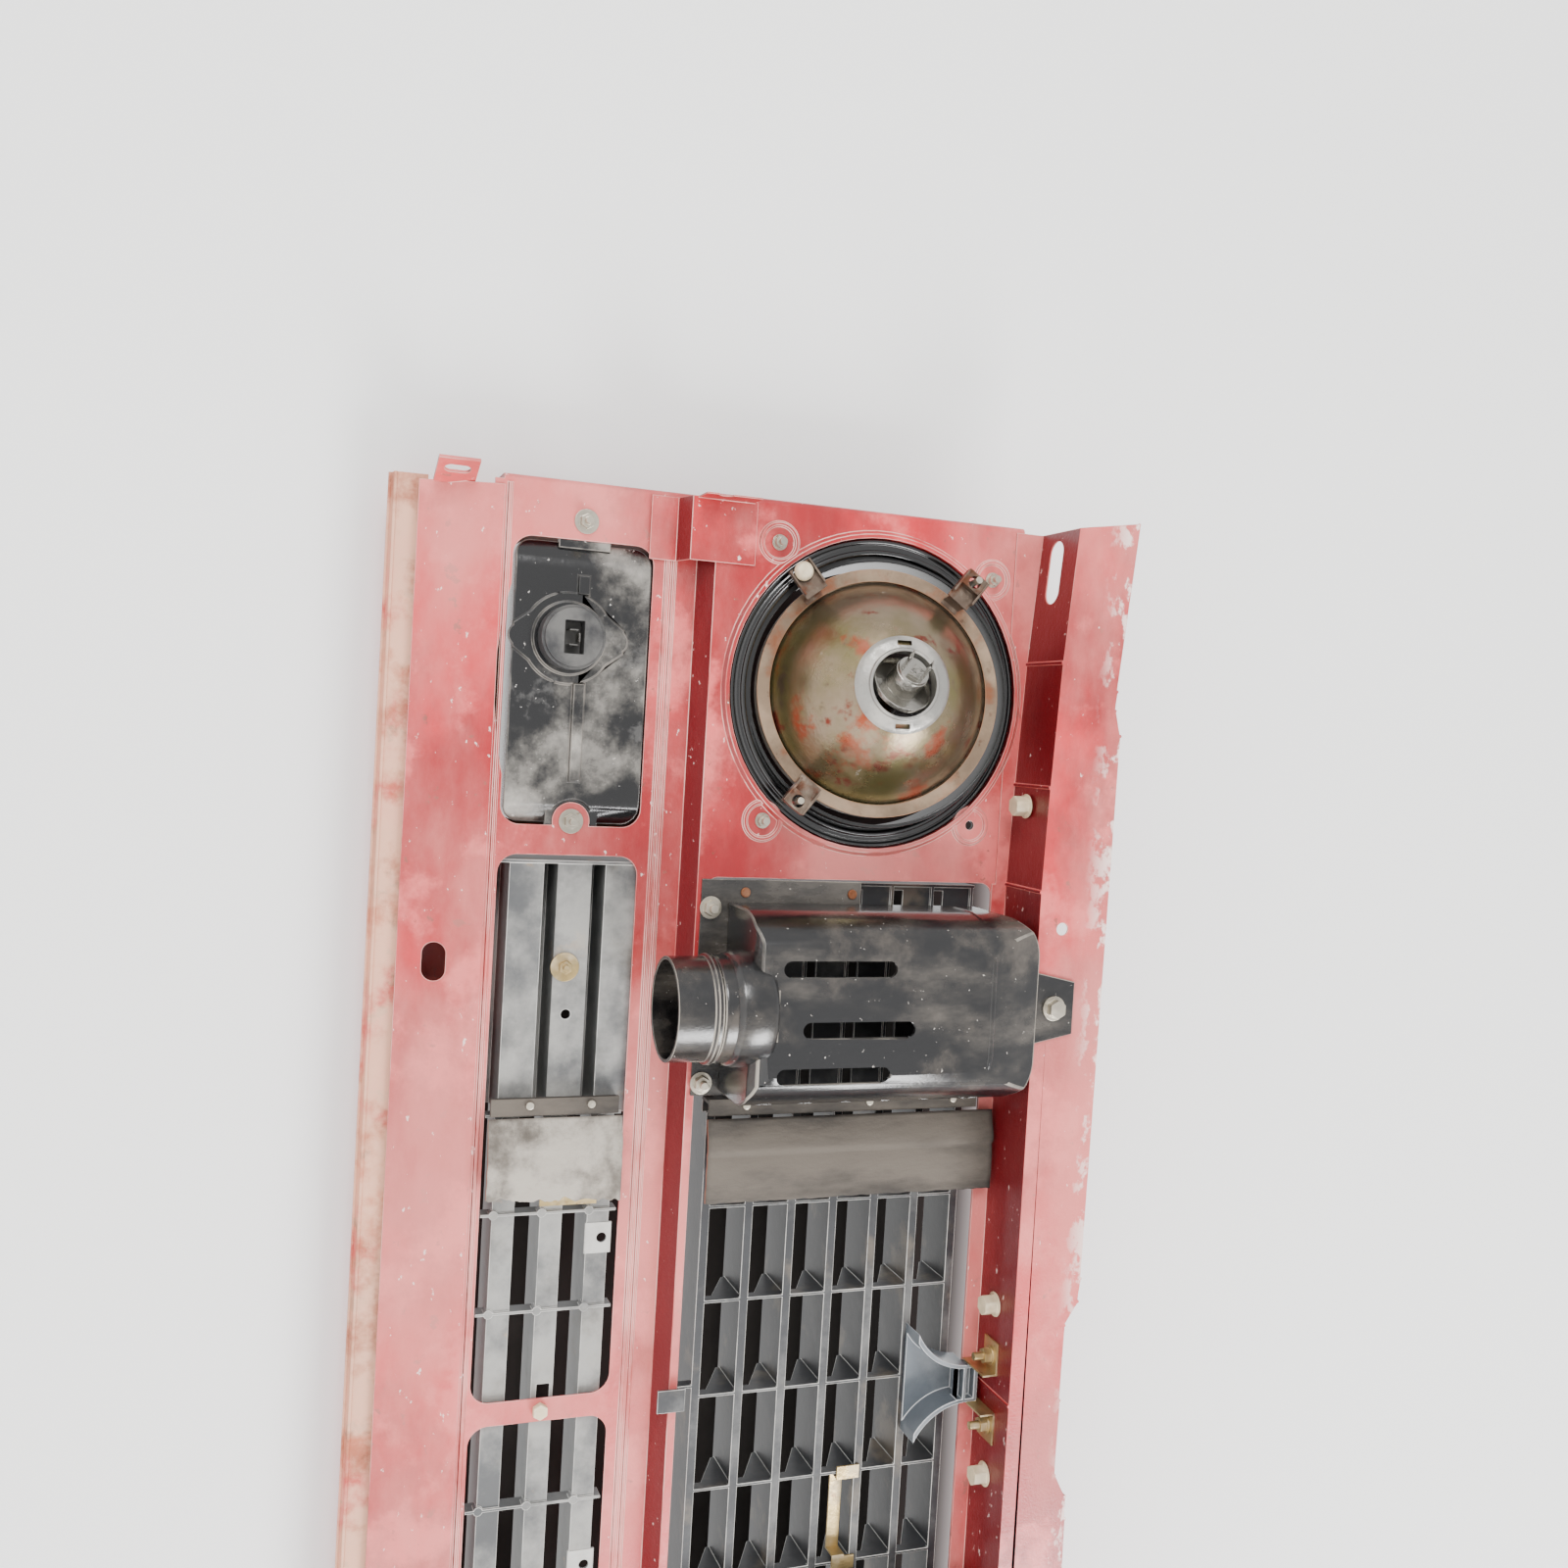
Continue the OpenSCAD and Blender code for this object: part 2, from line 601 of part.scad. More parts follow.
// Section of the duct across the vehicle, inset by t
module duct_section(t) {
    w = duct_w / 2 - t;
    h = duct_h - t;
    c = 36 - t;
    intersection() {
        translate([-w, -h]) square([2 * w, h + 0.5]);
        union() {
            translate([-w, -h + c]) square([2 * w, h - c + 0.5]);
            translate([-w + c, -h]) square([2 * (w - c), c + 0.5]);
            for (s = [LEFT, RIGHT]) translate([s * (w - c), -h + c]) circle(c);
        }
    }
}

// Side view of the duct: level back, then a slope down to the ledge
module duct_profile(t) {
    polygon([
        [base_y - eps, duct_bot + t], [duct_rear + 12 + t, duct_bot + t], [duct_rear + 3 + t, duct_bot + 4 + t],
        [duct_rear + t, duct_bot + 12 + t], [duct_rear + t, shoulder_z], [duct_rear + 5 + t, shoulder_z + 20 - t / 2],
        [duct_rear + 13 + t, duct_top + 7 - t], [ledge_y - 4 - sheet, duct_top + 9 - t], [ledge_y - 4, duct_top - t],
        [base_y - eps, duct_top - t]
    ]);
}

// Outline of the duct seen from behind, its upper corners well rounded
module duct_plan(t) {
    w = duct_w / 2 - t;
    c = 30 - t;
    top = duct_end - t;
    translate([-duct_x - w, duct_bot - 2]) square([2 * w, top - c - duct_bot + 2]);
    translate([-duct_x - w + c, duct_bot - 2]) square([2 * (w - c), top - duct_bot + 2]);
    for (x = [-w + c, w - c]) translate([-duct_x + x, top - c]) circle(c);
}

module duct_solid(t) {
    intersection() {
        plate(duct_rear - 1, base_y - duct_rear + 2) duct_plan(t);
        translate([-duct_x, base_y, duct_bot - 1]) linear_extrude(duct_top - duct_bot + 30) duct_section(t);
        rail(-duct_x, duct_w) duct_profile(t);
    }
}

louvres = [[-31, 26], [10, 42], [41, 25]]; // offset from the duct's centre and from its lower end

module duct_body() {
    color("dimgray") difference() {
        duct_solid(0);
        intersection() {
            duct_solid(duct_t);
            translate([-duct_x - duct_w, -300, -400]) cube([2 * duct_w, 600, 800]);
        }
        plate(base_y - 6, 30) intersection() {
            duct_plan(duct_t);
            translate([-duct_x - duct_w, duct_bot + duct_t]) square([2 * duct_w, duct_top - duct_bot]);
        }
        for (l = louvres) translate([-duct_x + l[0], 0, duct_bot + l[1] - 8]) {
            for (dz = [0, louvre_l - 11]) translate([0, 0, dz + 5.5]) bar_y(0, 0, 5.5, duct_rear - 9, duct_rear + 26);
            translate([-5.5, duct_rear - 9, 5.5]) cube([11, 35, louvre_l - 11]);
        }
        translate([-duct_x, spigot_y, duct_bot - 5]) cylinder(r = spigot_r - 2, h = 20);
    }
}

// Flat flange behind the duct that carries its fixings
module duct_base_plate() {
    x0 = -duct_x - duct_w / 2;
    color("dimgray") difference() {
        plate(base_y, 1.5) {
            translate([x0 - 16, open_bot - 3]) square([duct_w + 16 + 3, 22]);
            translate([x0 - 16, open_bot - 3]) square([16 + 6, 120]);
            translate([x0 + duct_w - 8, open_bot - 3]) square([11, 30]);
        }
        for (x = [x0 + 4, x0 + duct_w - 6]) bar_y(x, open_bot + 4, m6 + 0.2, base_y - 1, base_y + 6);
        translate([-duct_x, spigot_y, open_bot - 10]) cylinder(r = spigot_r + 4, h = 60);
    }
}

module duct_rivets() {
    color("sienna") for (z = [open_bot + 29, open_bot + 110]) bar_y(-duct_x - duct_w / 2 - 7, z, 3.6, base_y - 1.5, base_y);
}

spigot_len = 54;

module duct_spigot() {
    color("dimgray") translate([-duct_x, spigot_y, duct_bot - spigot_len]) rotate_extrude() polygon([
        [spigot_r - 2.5, 0], [spigot_r, 0], [spigot_r, 25], [spigot_r + 2, 27], [spigot_r + 2, 30],
        [spigot_r, 32], [spigot_r + 1, 34], [spigot_r + 1, spigot_len], [spigot_r - 2.5, spigot_len]
    ]);
}

module duct_tail_bar() {
    x = -duct_x;
    color("darkslategray") difference() {
        plate(ledge_y - 2, 2 - eps) polygon([[x - 26, duct_end + 0.3], [x + 26, duct_end + 0.3], [x + 19, duct_end + 33],
            [x - 19, duct_end + 33]]);
        bar_y(x, -4.5, m6 + 0.2, ledge_y - 3, ledge_y + 1);
    }
}

// A bolt with its head rearward through a face at y
module head_bolt(x, z, y, grip, af = 12) {
    bar_y(x, z, af / 2 + 3, y - 1.5, y);
    translate([x, y - 1.5, z]) rotate([90, 0, 0]) linear_extrude(6) hex(af);
    bar_y(x, z, m6, y - 2, y + grip);
}

module duct_bolts() {
    x0 = -duct_x - duct_w / 2;
    color("tan") {
        for (x = [x0 + 4, x0 + duct_w - 6]) stud_and_nut(x, open_bot + 4, base_y, 1.4);
        head_bolt(-duct_x, -4.5, ledge_y - 2, 8);
    }
}

// ---- rubber flaps ----

flap_y = [face_y - 6, frame_y - 6]; // rear side of the flaps, upper and lower
flap_x = grid_half; // hinge line from the centre line
flap_span = [[open_bot + 8, open_top + 9.5], [low_bot + 1, low_top - 1]];

// A bent sheet of rubber: it rises off its retainer and lies over the grille
module flap(s, row) {
    z0 = flap_span[row][0];
    z1 = flap_span[row][1];
    y = flap_y[row];
    color("darkgray") translate([0, 0, z0]) linear_extrude(z1 - z0) scale([-s, 1]) translate([-flap_x, y]) ribbon([
        [0, 0], [10, -5], [26, -6], [flap_w, -1]
    ], rubber);
    color("darkgray") translate([s * flap_x, y + rubber / 2, z0]) cylinder(r = rubber / 2, h = z1 - z0);
}

module flap_retainers() {
    color("darkgray") for (s = [LEFT, RIGHT], row = [0, 1]) {
        z0 = flap_span[row][0] + 2;
        z1 = min(flap_span[row][1], [open_top, low_top][row]) - 4;
        back = [grille_back, low_back][row];
        grip = rubber / 2 + joint_gap;
        translate([s * (flap_x + grip + 6) - 6, flap_y[row], z0]) cube([12, rubber, z1 - z0]);
        translate([s * (flap_x + 11) - 1.2, flap_y[row], z0]) cube([2.4, back - flap_y[row] - eps, z1 - z0]);
    }
}

module flap_rivets() {
    color("white") for (s = [LEFT, RIGHT], row = [0, 1]) {
        z0 = flap_span[row][0];
        z1 = flap_span[row][1];
        for (k = row == 0 ? [0.13, 0.55, 0.85] : [0.3, 0.75])
            bar_y(s * (flap_x + 9), z0 + k * (z1 - z0), 2.8, flap_y[row] - 1.8, flap_y[row]);
    }
}

// ---- headlamps ----

clip_dx = 80;
clip_dy = 62;
clip_z = 24; // underside of the clips behind the face
rim_z = 10; // rear rim of the bucket
ball_r = 4;
ball_z = clip_z + 4;
function clip_points(s) = [[s * clip_dx, -clip_dy], [s * clip_dx, clip_dy], [-s * clip_dx, -clip_dy]];

// Moulded bucket: a flange in front of the lamp face and a tube through the opening
module headlamp_bucket(s) {
    front = face_y + sheet + 0.1;
    color("black") difference() {
        union() {
            plate(front, 3) {
                translate([s * lamp_x, lamp_z]) circle(lamp_open_r + 7, $fn = 96);
                for (b = bucket_holes(s)) translate([s * lamp_x + b[0], lamp_z + b[1]]) circle(12);
            }
            at_lamp(s) translate([0, 0, -34]) cylinder(r = bucket_r + bucket_t, h = 34 + rim_z, $fn = 96);
            at_lamp(s) for (c = clip_points(s)) translate([c[0], c[1], -14]) cylinder(r = 6, h = 10);
        }
        at_lamp(s) translate([0, 0, -60]) cylinder(r = bucket_r, h = 100, $fn = 96);
        at_lamp(s) for (c = clip_points(s)) translate([c[0], c[1], -30]) cylinder(r = aim_r + 0.1, h = 60);
        for (b = bucket_holes(s)) bar_y(s * lamp_x + b[0], lamp_z + b[1], m6 + 0.2, front - 1, front + 5);
    }
}

// Four bolts of the bucket; on the left the one towards the middle above is missing
module headlamp_bolts(s) {
    count = s == LEFT ? 3 : 4;
    color("tan") for (i = [0 : count - 1]) {
        b = bucket_holes(s)[i];
        translate([s * lamp_x + b[0], 0, lamp_z + b[1]]) {
            bar_y(0, 0, 5.6, face_y - 1.2, face_y);
            bar_y(0, 0, 4.2, face_y - 5.5, face_y - 1.2);
            bar_y(0, 0, 2.7, face_y - 10, face_y + sheet + 6);
        }
    }
}

head_r = 4.5; // heads of the aiming screws

module aim_screws(s) {
    color("tan") at_lamp(s) {
        for (i = [1, 2]) translate([clip_points(s)[i][0], clip_points(s)[i][1], -13]) {
            cylinder(r = aim_r, h = 13 + clip_z + 17);
            translate([0, 0, -4]) cylinder(r = head_r, h = 2.9);
            translate([0, 0, -2]) cylinder(r = aim_r, h = 3);
        }
        translate([clip_points(s)[0][0], clip_points(s)[0][1], -13]) {
            cylinder(r = aim_r, h = 13 + ball_z);
            translate([0, 0, -4]) cylinder(r = head_r, h = 2.9);
            translate([0, 0, -2]) cylinder(r = aim_r, h = 3);
            translate([0, 0, 13 + ball_z]) sphere(ball_r, $fn = 32);
        }
    }
}

pivot_r = ball_r + 2.8;

// Nylon socket on the fixed ball
module aim_pivot(s) {
    color("ivory") at_lamp(s) translate([clip_points(s)[0][0], clip_points(s)[0][1], ball_z]) difference() {
        intersection() {
            sphere(pivot_r, $fn = 48);
            translate([-10, -10, -3]) cube([20, 20, 8]);
        }
        sphere(ball_r + joint_gap, $fn = 48);
        translate([0, 0, -8]) cylinder(r = ball_r, h = 8);
    }
}

ring_r = lens_r - 1;

module headlamp_ring(s) {
    color("tan") at_lamp(s) rotate_extrude($fn = 96) polygon([
        [ring_r - 8, 8], [ring_r, 8], [ring_r, -2.2], [ring_r + 1, -2.2], [ring_r + 1, 9.2], [ring_r - 8, 9.2]
    ]);
}

bowl_r = ring_r - 8.5;
bowl_back = 6 + bowl_d;
bowl_steps = 14;
// Depth of the bowl's outside at radius r, a parabola from the rim to the neck
function bowl_z(r) = 6 + bowl_d * (1 - pow((r - neck_r) / (bowl_r - neck_r), 2) * 0.55 - 0.45 * pow(r / bowl_r, 2) +
    0.45 * pow(neck_r / bowl_r, 2)) - bowl_d * 0.45 * pow(neck_r / bowl_r, 2) * (r - neck_r) / (bowl_r - neck_r);

module headlamp_reflector(s) {
    t = 1.2;
    outer = [for (i = [0 : bowl_steps]) let(r = neck_r + 3 + (bowl_r - neck_r - 3) * i / bowl_steps) [r, bowl_z(r)]];
    inner = [for (i = [bowl_steps : -1 : 0]) [outer[i][0], outer[i][1] - t * 1.3]];
    color("darkkhaki") at_lamp(s) rotate_extrude($fn = 96)
        polygon(concat(outer, [[bowl_r + 2, 6], [bowl_r + 2, 7.9], [ring_r - 0.1, 7.9], [ring_r - 0.1, 4.4], [bowl_r - 1, 4.4]],
            inner));
}

collar_r = 33;

// Bright collar round the neck, with two slots for the boot's lugs
module bulb_collar(s) {
    z = bowl_z(neck_r + 3);
    color("silver") at_lamp(s) difference() {
        rotate_extrude() polygon([
            [neck_r, z - 9], [neck_r + 1.8, z - 9], [neck_r + 1.8, z + 1.2], [collar_r - 3, z - 0.6],
            [collar_r, z - 2.5], [collar_r + 0.6, z - 1.5], [collar_r - 2.6, z + 1.6], [neck_r + 2.6, z + 3.2],
            [neck_r + 1.8, z + 5], [neck_r, z + 5]
        ]);
        for (a = [0, 180]) rotate([0, 0, a]) translate([neck_r + 4.4, -5, z - 8]) cube([3.2, 10, 20]);
    }
}

// A flat terminal with a hole near its end
module bulb_blade() {
    difference() {
        translate([-0.4, -4, 0]) cube([0.8, 8, 15]);
        translate([-1, 0, 11]) rotate([0, 90, 0]) cylinder(r = 1.4, h = 2);
    }
}

// Halogen bulb that hangs tilted in its neck: flange, base, terminals and glass
module headlamp_bulb(s) {
    z = bowl_z(neck_r + 3) - 3;
    r = neck_r - 0.4;
    color("silver") at_lamp(s) translate([0, 0, z]) rotate([0, 0, 25 * s]) rotate([0, bulb_tilt * s, 0]) {
        rotate_extrude() polygon([[9, -1.5], [r, -1.5], [r, 2.2], [r - 1.2, 2.2], [r - 1.2, 0], [9, 0]]);
        translate([0, 0, -3]) cylinder(r = 11.8, h = 18);
        translate([0, 0, 14]) cylinder(r = 11.2, h = 3.6);
        for (p = [[0, 7.4, 90], [0, -7.4, 90], [7.4, 0, 0]])
            translate([p[0], p[1], 15]) rotate([0, 0, p[2]]) bulb_blade();
        translate([0, 0, -34]) cylinder(r = 8, h = 31.5);
        translate([0, 0, -34]) sphere(8, $fn = 32);
    }
}

module headlamp_lens(s) {
    dome = 20;
    big = (ring_r * ring_r + dome * dome) / (2 * dome);
    arc = asin(ring_r / big);
    steps = 10;
    outer = [for (i = [0 : steps]) let(a = arc * (1 - i / steps)) [big * sin(a), -3.2 + (big - dome) - big * cos(a)]];
    inner = [for (i = [steps : -1 : 0]) let(a = arc * (1 - i / steps)) [(big - 3) * sin(a), -3.2 + (big - dome) - (big - 3) * cos(a)]];
    color("lightcyan") at_lamp(s) rotate_extrude($fn = 96)
        polygon(concat([[ring_r - 4, 4.3], [ring_r - 0.2, 4.3]], outer, inner, [[ring_r - 4, -2]]));
}

// Steel clips from the ring over the bucket's rim, with the nylon nuts of the aiming screws
module aim_clips(s) {
    reach = norm([clip_dx, clip_dy]);
    color("darkgray") at_lamp(s) for (i = [0 : 2]) {
        c = clip_points(s)[i];
        rotate([0, 0, atan2(c[1], c[0])]) difference() {
            union() {
                translate([ring_r - 7.5, -7, 9.2]) cube([4.5, 14, 1.5]);
                translate([ring_r - 4.5, -7, 9.2]) cube([1.5, 14, clip_z + 1.5 - 9.2]);
                translate([ring_r - 4.5, -9, clip_z]) cube([reach + 10 - ring_r, 18, 1.5]);
                for (w = [-9, 7.5]) translate([ring_r - 1, w, clip_z]) cube([reach + 6.5 - ring_r, 1.5, i == 0 ? 5 : 9]);
                if (i > 0) translate([reach - 6, -7.6, clip_z + 1.4]) cube([12, 15.2, 6.6]);
            }
            translate([reach, 0, clip_z - 5]) cylinder(r = i == 0 ? pivot_r + joint_gap + 0.2 : aim_r + 2, h = 24);
        }
    }
}

// ---- turn lamps ----

turn_gap = 1.6; // round the housing in its opening
turn_y = frame_y - 2; // rear face of the housing
turn_front = skin_y - 10;
hole_r = socket_r - 2.6;
socket_at = [30, -9]; // the socket's place on the housing, outward and up from its middle

module turn_outline(t) {
    difference() {
        round_rect(-turn_len / 2 + turn_gap + t, -lower_open_h / 2 + turn_gap + t, turn_len / 2 - turn_gap - t,
            lower_open_h / 2 - turn_gap - t, corner_r - 2);
        translate([-stud_in, 0]) circle(tab_r + 2 + t);
    }
}

// Housing in a frame with x inward; the rear slopes away at both ends
module turn_shell(t) {
    intersection() {
        plate(turn_y + t, turn_front - turn_y) turn_outline(t);
        translate([0, 0, -100]) linear_extrude(200) polygon([
            [-turn_len / 2, turn_y + 9 + t], [-turn_len / 2 + 14, turn_y + 1 + t], [-turn_len / 2 + 22, turn_y + t],
            [turn_len / 2 - 22, turn_y + t], [turn_len / 2 - 14, turn_y + 1 + t], [turn_len / 2, turn_y + 9 + t],
            [turn_len / 2, turn_front + 1 + t], [-turn_len / 2, turn_front + 1 + t]
        ]);
    }
}

module turn_housing(s) {
    flange_y = frame_y + sheet + 0.1;
    rib = [8, 3]; // width and height of the long rib
    color("dimgray") difference() {
        at_turn_mirrored(s) {
            turn_shell(0);
            plate(flange_y, 2.4) difference() {
                union() {
                    translate([-stud_in - 9, -18]) square([stud_in, 36]);
                    translate([0, -18]) square([stud_out + 8, 36]);
                }
                translate([-stud_in + 24, -19]) square([stud_in + turn_len / 2 - 30, 38]);
            }
            plate(turn_y - 2.5, 3) translate(socket_at) {
                circle(31);
                for (z = [-1, 1]) polygon([[-30, z * 8], [30, z * 8], [8, z * 38], [-8, z * 38]]);
                for (z = [-33, 33]) translate([0, z]) circle(8);
            }
            plate(turn_y - 5, 5) translate(socket_at) circle(socket_r + 3);
            for (x = [[-turn_len / 2 + 30, socket_at[0] - 30], [socket_at[0] + 30, turn_len / 2 - 24]])
                translate([x[0], turn_y - rib[1], -rib[0] / 2]) cube([x[1] - x[0], rib[1] + 1, rib[0]]);
        }
        at_turn_mirrored(s) {
            translate([0, 2.5 - eps, 0]) difference() {
                turn_shell(2.5);
                plate(turn_y - 10, 12) translate(socket_at) circle(socket_r + 1);
            }
            plate(turn_front - 4, 30) turn_outline(2.4);
            plate(turn_y - 20, 60) translate(socket_at) circle(hole_r + joint_gap);
            for (x = [-stud_in, stud_out]) plate(flange_y - 1, 6) translate([x, 0]) circle(m6 + 0.2);
        }
    }
}

module at_turn_mirrored(s) {
    translate([s * turn_x, 0, turn_z]) if (s > 0) children(); else mirror([1, 0, 0]) children();
}

module turn_lens(s) {
    color("orange") at_turn_mirrored(s) difference() {
        plate(turn_front + 0.2, 9) turn_outline(0);
        plate(turn_front - 1, 7) turn_outline(3);
    }
}

module turn_nuts(s) {
    color("wheat") for (x = [turn_x - stud_in, turn_x + stud_out]) {
        bar_y(s * x, turn_z, 8.5, frame_y - 1.2, frame_y);
        translate([s * x, frame_y - 1.2, turn_z]) rotate([90, 0, 0]) linear_extrude(4.5) hex(9);
        bar_y(s * x, turn_z, 2.6, frame_y - 11, frame_y + sheet + 2.5);
    }
}

socket_y = turn_y - 5 - joint_gap; // front of the socket's flange

// Twist-in socket: a cap behind the housing, a neck through it and three blades in its well
module turn_socket(s) {
    color("dimgray") translate([s * (turn_x + socket_at[0]), 0, turn_z + socket_at[1]]) {
        difference() {
            union() {
                bar_y(0, 0, socket_r, socket_y - socket_h + 2, socket_y);
                bar_y(0, 0, socket_r - 2, socket_y - socket_h, socket_y - socket_h + 3);
                bar_y(0, 0, hole_r - joint_gap, socket_y - 1, turn_y + 14);
            }
            translate([-11, socket_y - socket_h - 1, -6.5]) cube([22, socket_h - 3, 13]);
            bar_y(0, 0, 7, turn_y + 2, turn_y + 20);
        }
        for (x = [-5.5, 4.5]) translate([x, socket_y - socket_h + 2, -3]) cube([1, socket_h - 5, 6]);
        translate([-3, socket_y - socket_h + 2, 3.5]) cube([6, socket_h - 5, 1]);
    }
}

module turn_bulb(s) {
    color("lightyellow") translate([s * (turn_x + socket_at[0]), turn_y + 2.3, turn_z + socket_at[1]])
        rotate([-90, 0, 0]) {
        cylinder(r = 6.7, h = 16);
        translate([0, 0, 16]) cylinder(r1 = 6.7, r2 = 8.5, h = 4);
        translate([0, 0, 22]) sphere(9, $fn = 32);
    }
}

front_panel();
top_rail();
bottom_strip();
outer_skin();
joint_plate(LEFT);  // joint_plate_left
joint_plate(RIGHT);  // joint_plate_right
upper_grille();
lower_grille();
grille_gusset();
gusset_brackets();
gusset_bolts();
badge_bracket();
grille_fixings();
rail_bolts();
crossbar_bolts();
duct_body();
duct_base_plate();
duct_rivets();
duct_spigot();
duct_tail_bar();
duct_bolts();
flap_retainers();
flap_rivets();
flap(LEFT, 0);  // flap_upper_left
flap(RIGHT, 0);  // flap_upper_right
flap(LEFT, 1);  // flap_lower_left
flap(RIGHT, 1);  // flap_lower_right
headlamp_bucket(LEFT);  // headlamp_bucket_left
headlamp_bucket(RIGHT);  // headlamp_bucket_right
headlamp_bolts(LEFT);  // headlamp_bolts_left
headlamp_bolts(RIGHT);  // headlamp_bolts_right
aim_screws(LEFT);  // aim_screws_left
aim_screws(RIGHT);  // aim_screws_right
aim_pivot(LEFT);  // aim_pivot_left
aim_pivot(RIGHT);  // aim_pivot_right
headlamp_ring(LEFT);  // headlamp_ring_left
headlamp_ring(RIGHT);  // headlamp_ring_right
headlamp_reflector(LEFT);  // headlamp_reflector_left
headlamp_reflector(RIGHT);  // headlamp_reflector_right
headlamp_lens(LEFT);  // headlamp_lens_left
headlamp_lens(RIGHT);  // headlamp_lens_right
bulb_collar(LEFT);  // bulb_collar_left
bulb_collar(RIGHT);  // bulb_collar_right
headlamp_bulb(LEFT);  // headlamp_bulb_left
headlamp_bulb(RIGHT);  // headlamp_bulb_right
aim_clips(LEFT);  // aim_clips_left
aim_clips(RIGHT);  // aim_clips_right
turn_housing(LEFT);  // turn_housing_left
turn_housing(RIGHT);  // turn_housing_right
turn_lens(LEFT);  // turn_lens_left
turn_lens(RIGHT);  // turn_lens_right
turn_nuts(LEFT);  // turn_nuts_left
turn_nuts(RIGHT);  // turn_nuts_right
turn_socket(LEFT);  // turn_socket_left
turn_socket(RIGHT);  // turn_socket_right
turn_bulb(LEFT);  // turn_bulb_left
turn_bulb(RIGHT);  // turn_bulb_right
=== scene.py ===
import json
import math
import bmesh
import bpy
from mathutils import Matrix, Vector, noise

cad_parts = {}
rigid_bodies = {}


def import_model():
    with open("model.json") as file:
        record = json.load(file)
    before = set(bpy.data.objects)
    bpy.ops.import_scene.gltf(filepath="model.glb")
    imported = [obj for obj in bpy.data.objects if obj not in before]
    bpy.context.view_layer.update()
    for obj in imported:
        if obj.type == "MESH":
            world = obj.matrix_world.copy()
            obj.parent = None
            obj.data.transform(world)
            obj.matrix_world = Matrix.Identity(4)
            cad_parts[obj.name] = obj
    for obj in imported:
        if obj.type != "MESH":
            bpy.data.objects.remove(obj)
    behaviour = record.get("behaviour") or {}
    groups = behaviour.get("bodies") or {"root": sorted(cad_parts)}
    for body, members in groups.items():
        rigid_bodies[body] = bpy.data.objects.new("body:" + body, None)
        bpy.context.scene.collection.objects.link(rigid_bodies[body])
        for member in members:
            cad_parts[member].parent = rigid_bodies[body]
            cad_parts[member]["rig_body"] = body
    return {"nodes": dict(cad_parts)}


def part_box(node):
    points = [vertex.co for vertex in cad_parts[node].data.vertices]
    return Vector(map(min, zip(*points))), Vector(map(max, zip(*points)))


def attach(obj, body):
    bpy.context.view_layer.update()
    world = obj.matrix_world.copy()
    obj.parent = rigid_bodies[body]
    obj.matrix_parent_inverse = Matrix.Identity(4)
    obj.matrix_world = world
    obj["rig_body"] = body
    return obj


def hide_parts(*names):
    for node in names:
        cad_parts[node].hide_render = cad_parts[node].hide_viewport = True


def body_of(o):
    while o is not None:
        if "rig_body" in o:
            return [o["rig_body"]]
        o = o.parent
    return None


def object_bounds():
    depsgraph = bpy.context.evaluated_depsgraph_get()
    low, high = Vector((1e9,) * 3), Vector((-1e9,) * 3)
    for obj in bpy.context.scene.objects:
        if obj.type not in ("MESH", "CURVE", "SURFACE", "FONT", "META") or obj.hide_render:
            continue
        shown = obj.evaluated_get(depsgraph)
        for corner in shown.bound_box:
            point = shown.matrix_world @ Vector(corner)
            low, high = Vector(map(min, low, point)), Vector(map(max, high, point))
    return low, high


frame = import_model()
cad_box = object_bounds()

# ---- Camera ----
# The viewer leans over the rear of the panel, level with its lower edge and nearer to the vehicle's left.
# The top of the panel is to the viewer's right.
viewer = bpy.data.objects.new("viewer", bpy.data.cameras.new("viewer"))
viewer.data.lens = 33.3
viewer.location = (-0.474, -0.908, -0.553)
viewer.rotation_euler = [math.radians(angle) for angle in (-172.8, -69.7, -99.6)]
bpy.context.scene.collection.objects.link(viewer)
bpy.context.scene.camera = viewer

# ---- Studio ----
# A pale floor a metre under the ledge and a pale board just in front of the panel, which stands for the
# ground that it lies on. The board shows only from the panel's side, and a dark patch on it stands for the
# panel's shade.
def add_object(name, mesh, *materials):
    made = bpy.data.objects.new(name, mesh)
    for material in materials:
        mesh.materials.append(material)
    bpy.context.scene.collection.objects.link(made)
    return made


def add_node(material, kind, settings=None, **inputs):
    """A shader node with its settings and its inputs, which are values or other nodes' outputs."""
    made = material.node_tree.nodes.new("ShaderNode" + kind)
    for key, value in (settings or {}).items():
        setattr(made, key, value)
    for key, value in inputs.items():
        numbered = key[0] == "i" and key[1:].isdigit()
        socket = made.inputs[int(key[1:]) if numbered else key.replace("_", " ")]
        if isinstance(value, bpy.types.NodeSocket):
            material.node_tree.links.new(value, socket)
        else:
            socket.default_value = value
    return made


def new_material(name, color, roughness, **shader_inputs):
    """A material and its shader. Uniform values are set on the shader itself."""
    material = bpy.data.materials.new(name)
    material.use_nodes = True
    shader = material.node_tree.nodes["Principled BSDF"]
    shader.inputs["Base Color"].default_value = (*color, 1)
    shader.inputs["Roughness"].default_value = roughness
    for key, value in shader_inputs.items():
        shader.inputs[key.replace("_", " ")].default_value = value
    return material


def square_mesh(name, corners):
    mesh = bpy.data.meshes.new(name)
    mesh.from_pydata(corners, [], [range(4)])
    return mesh


def tint(red, green, blue):
    """A colour given as 0 to 255 display values, for a shader."""
    shares = [value / 255 for value in (red, green, blue)]
    return (*[v / 12.92 if v < 0.0404 else ((v + 0.055) / 1.055) ** 2.4 for v in shares], 1)


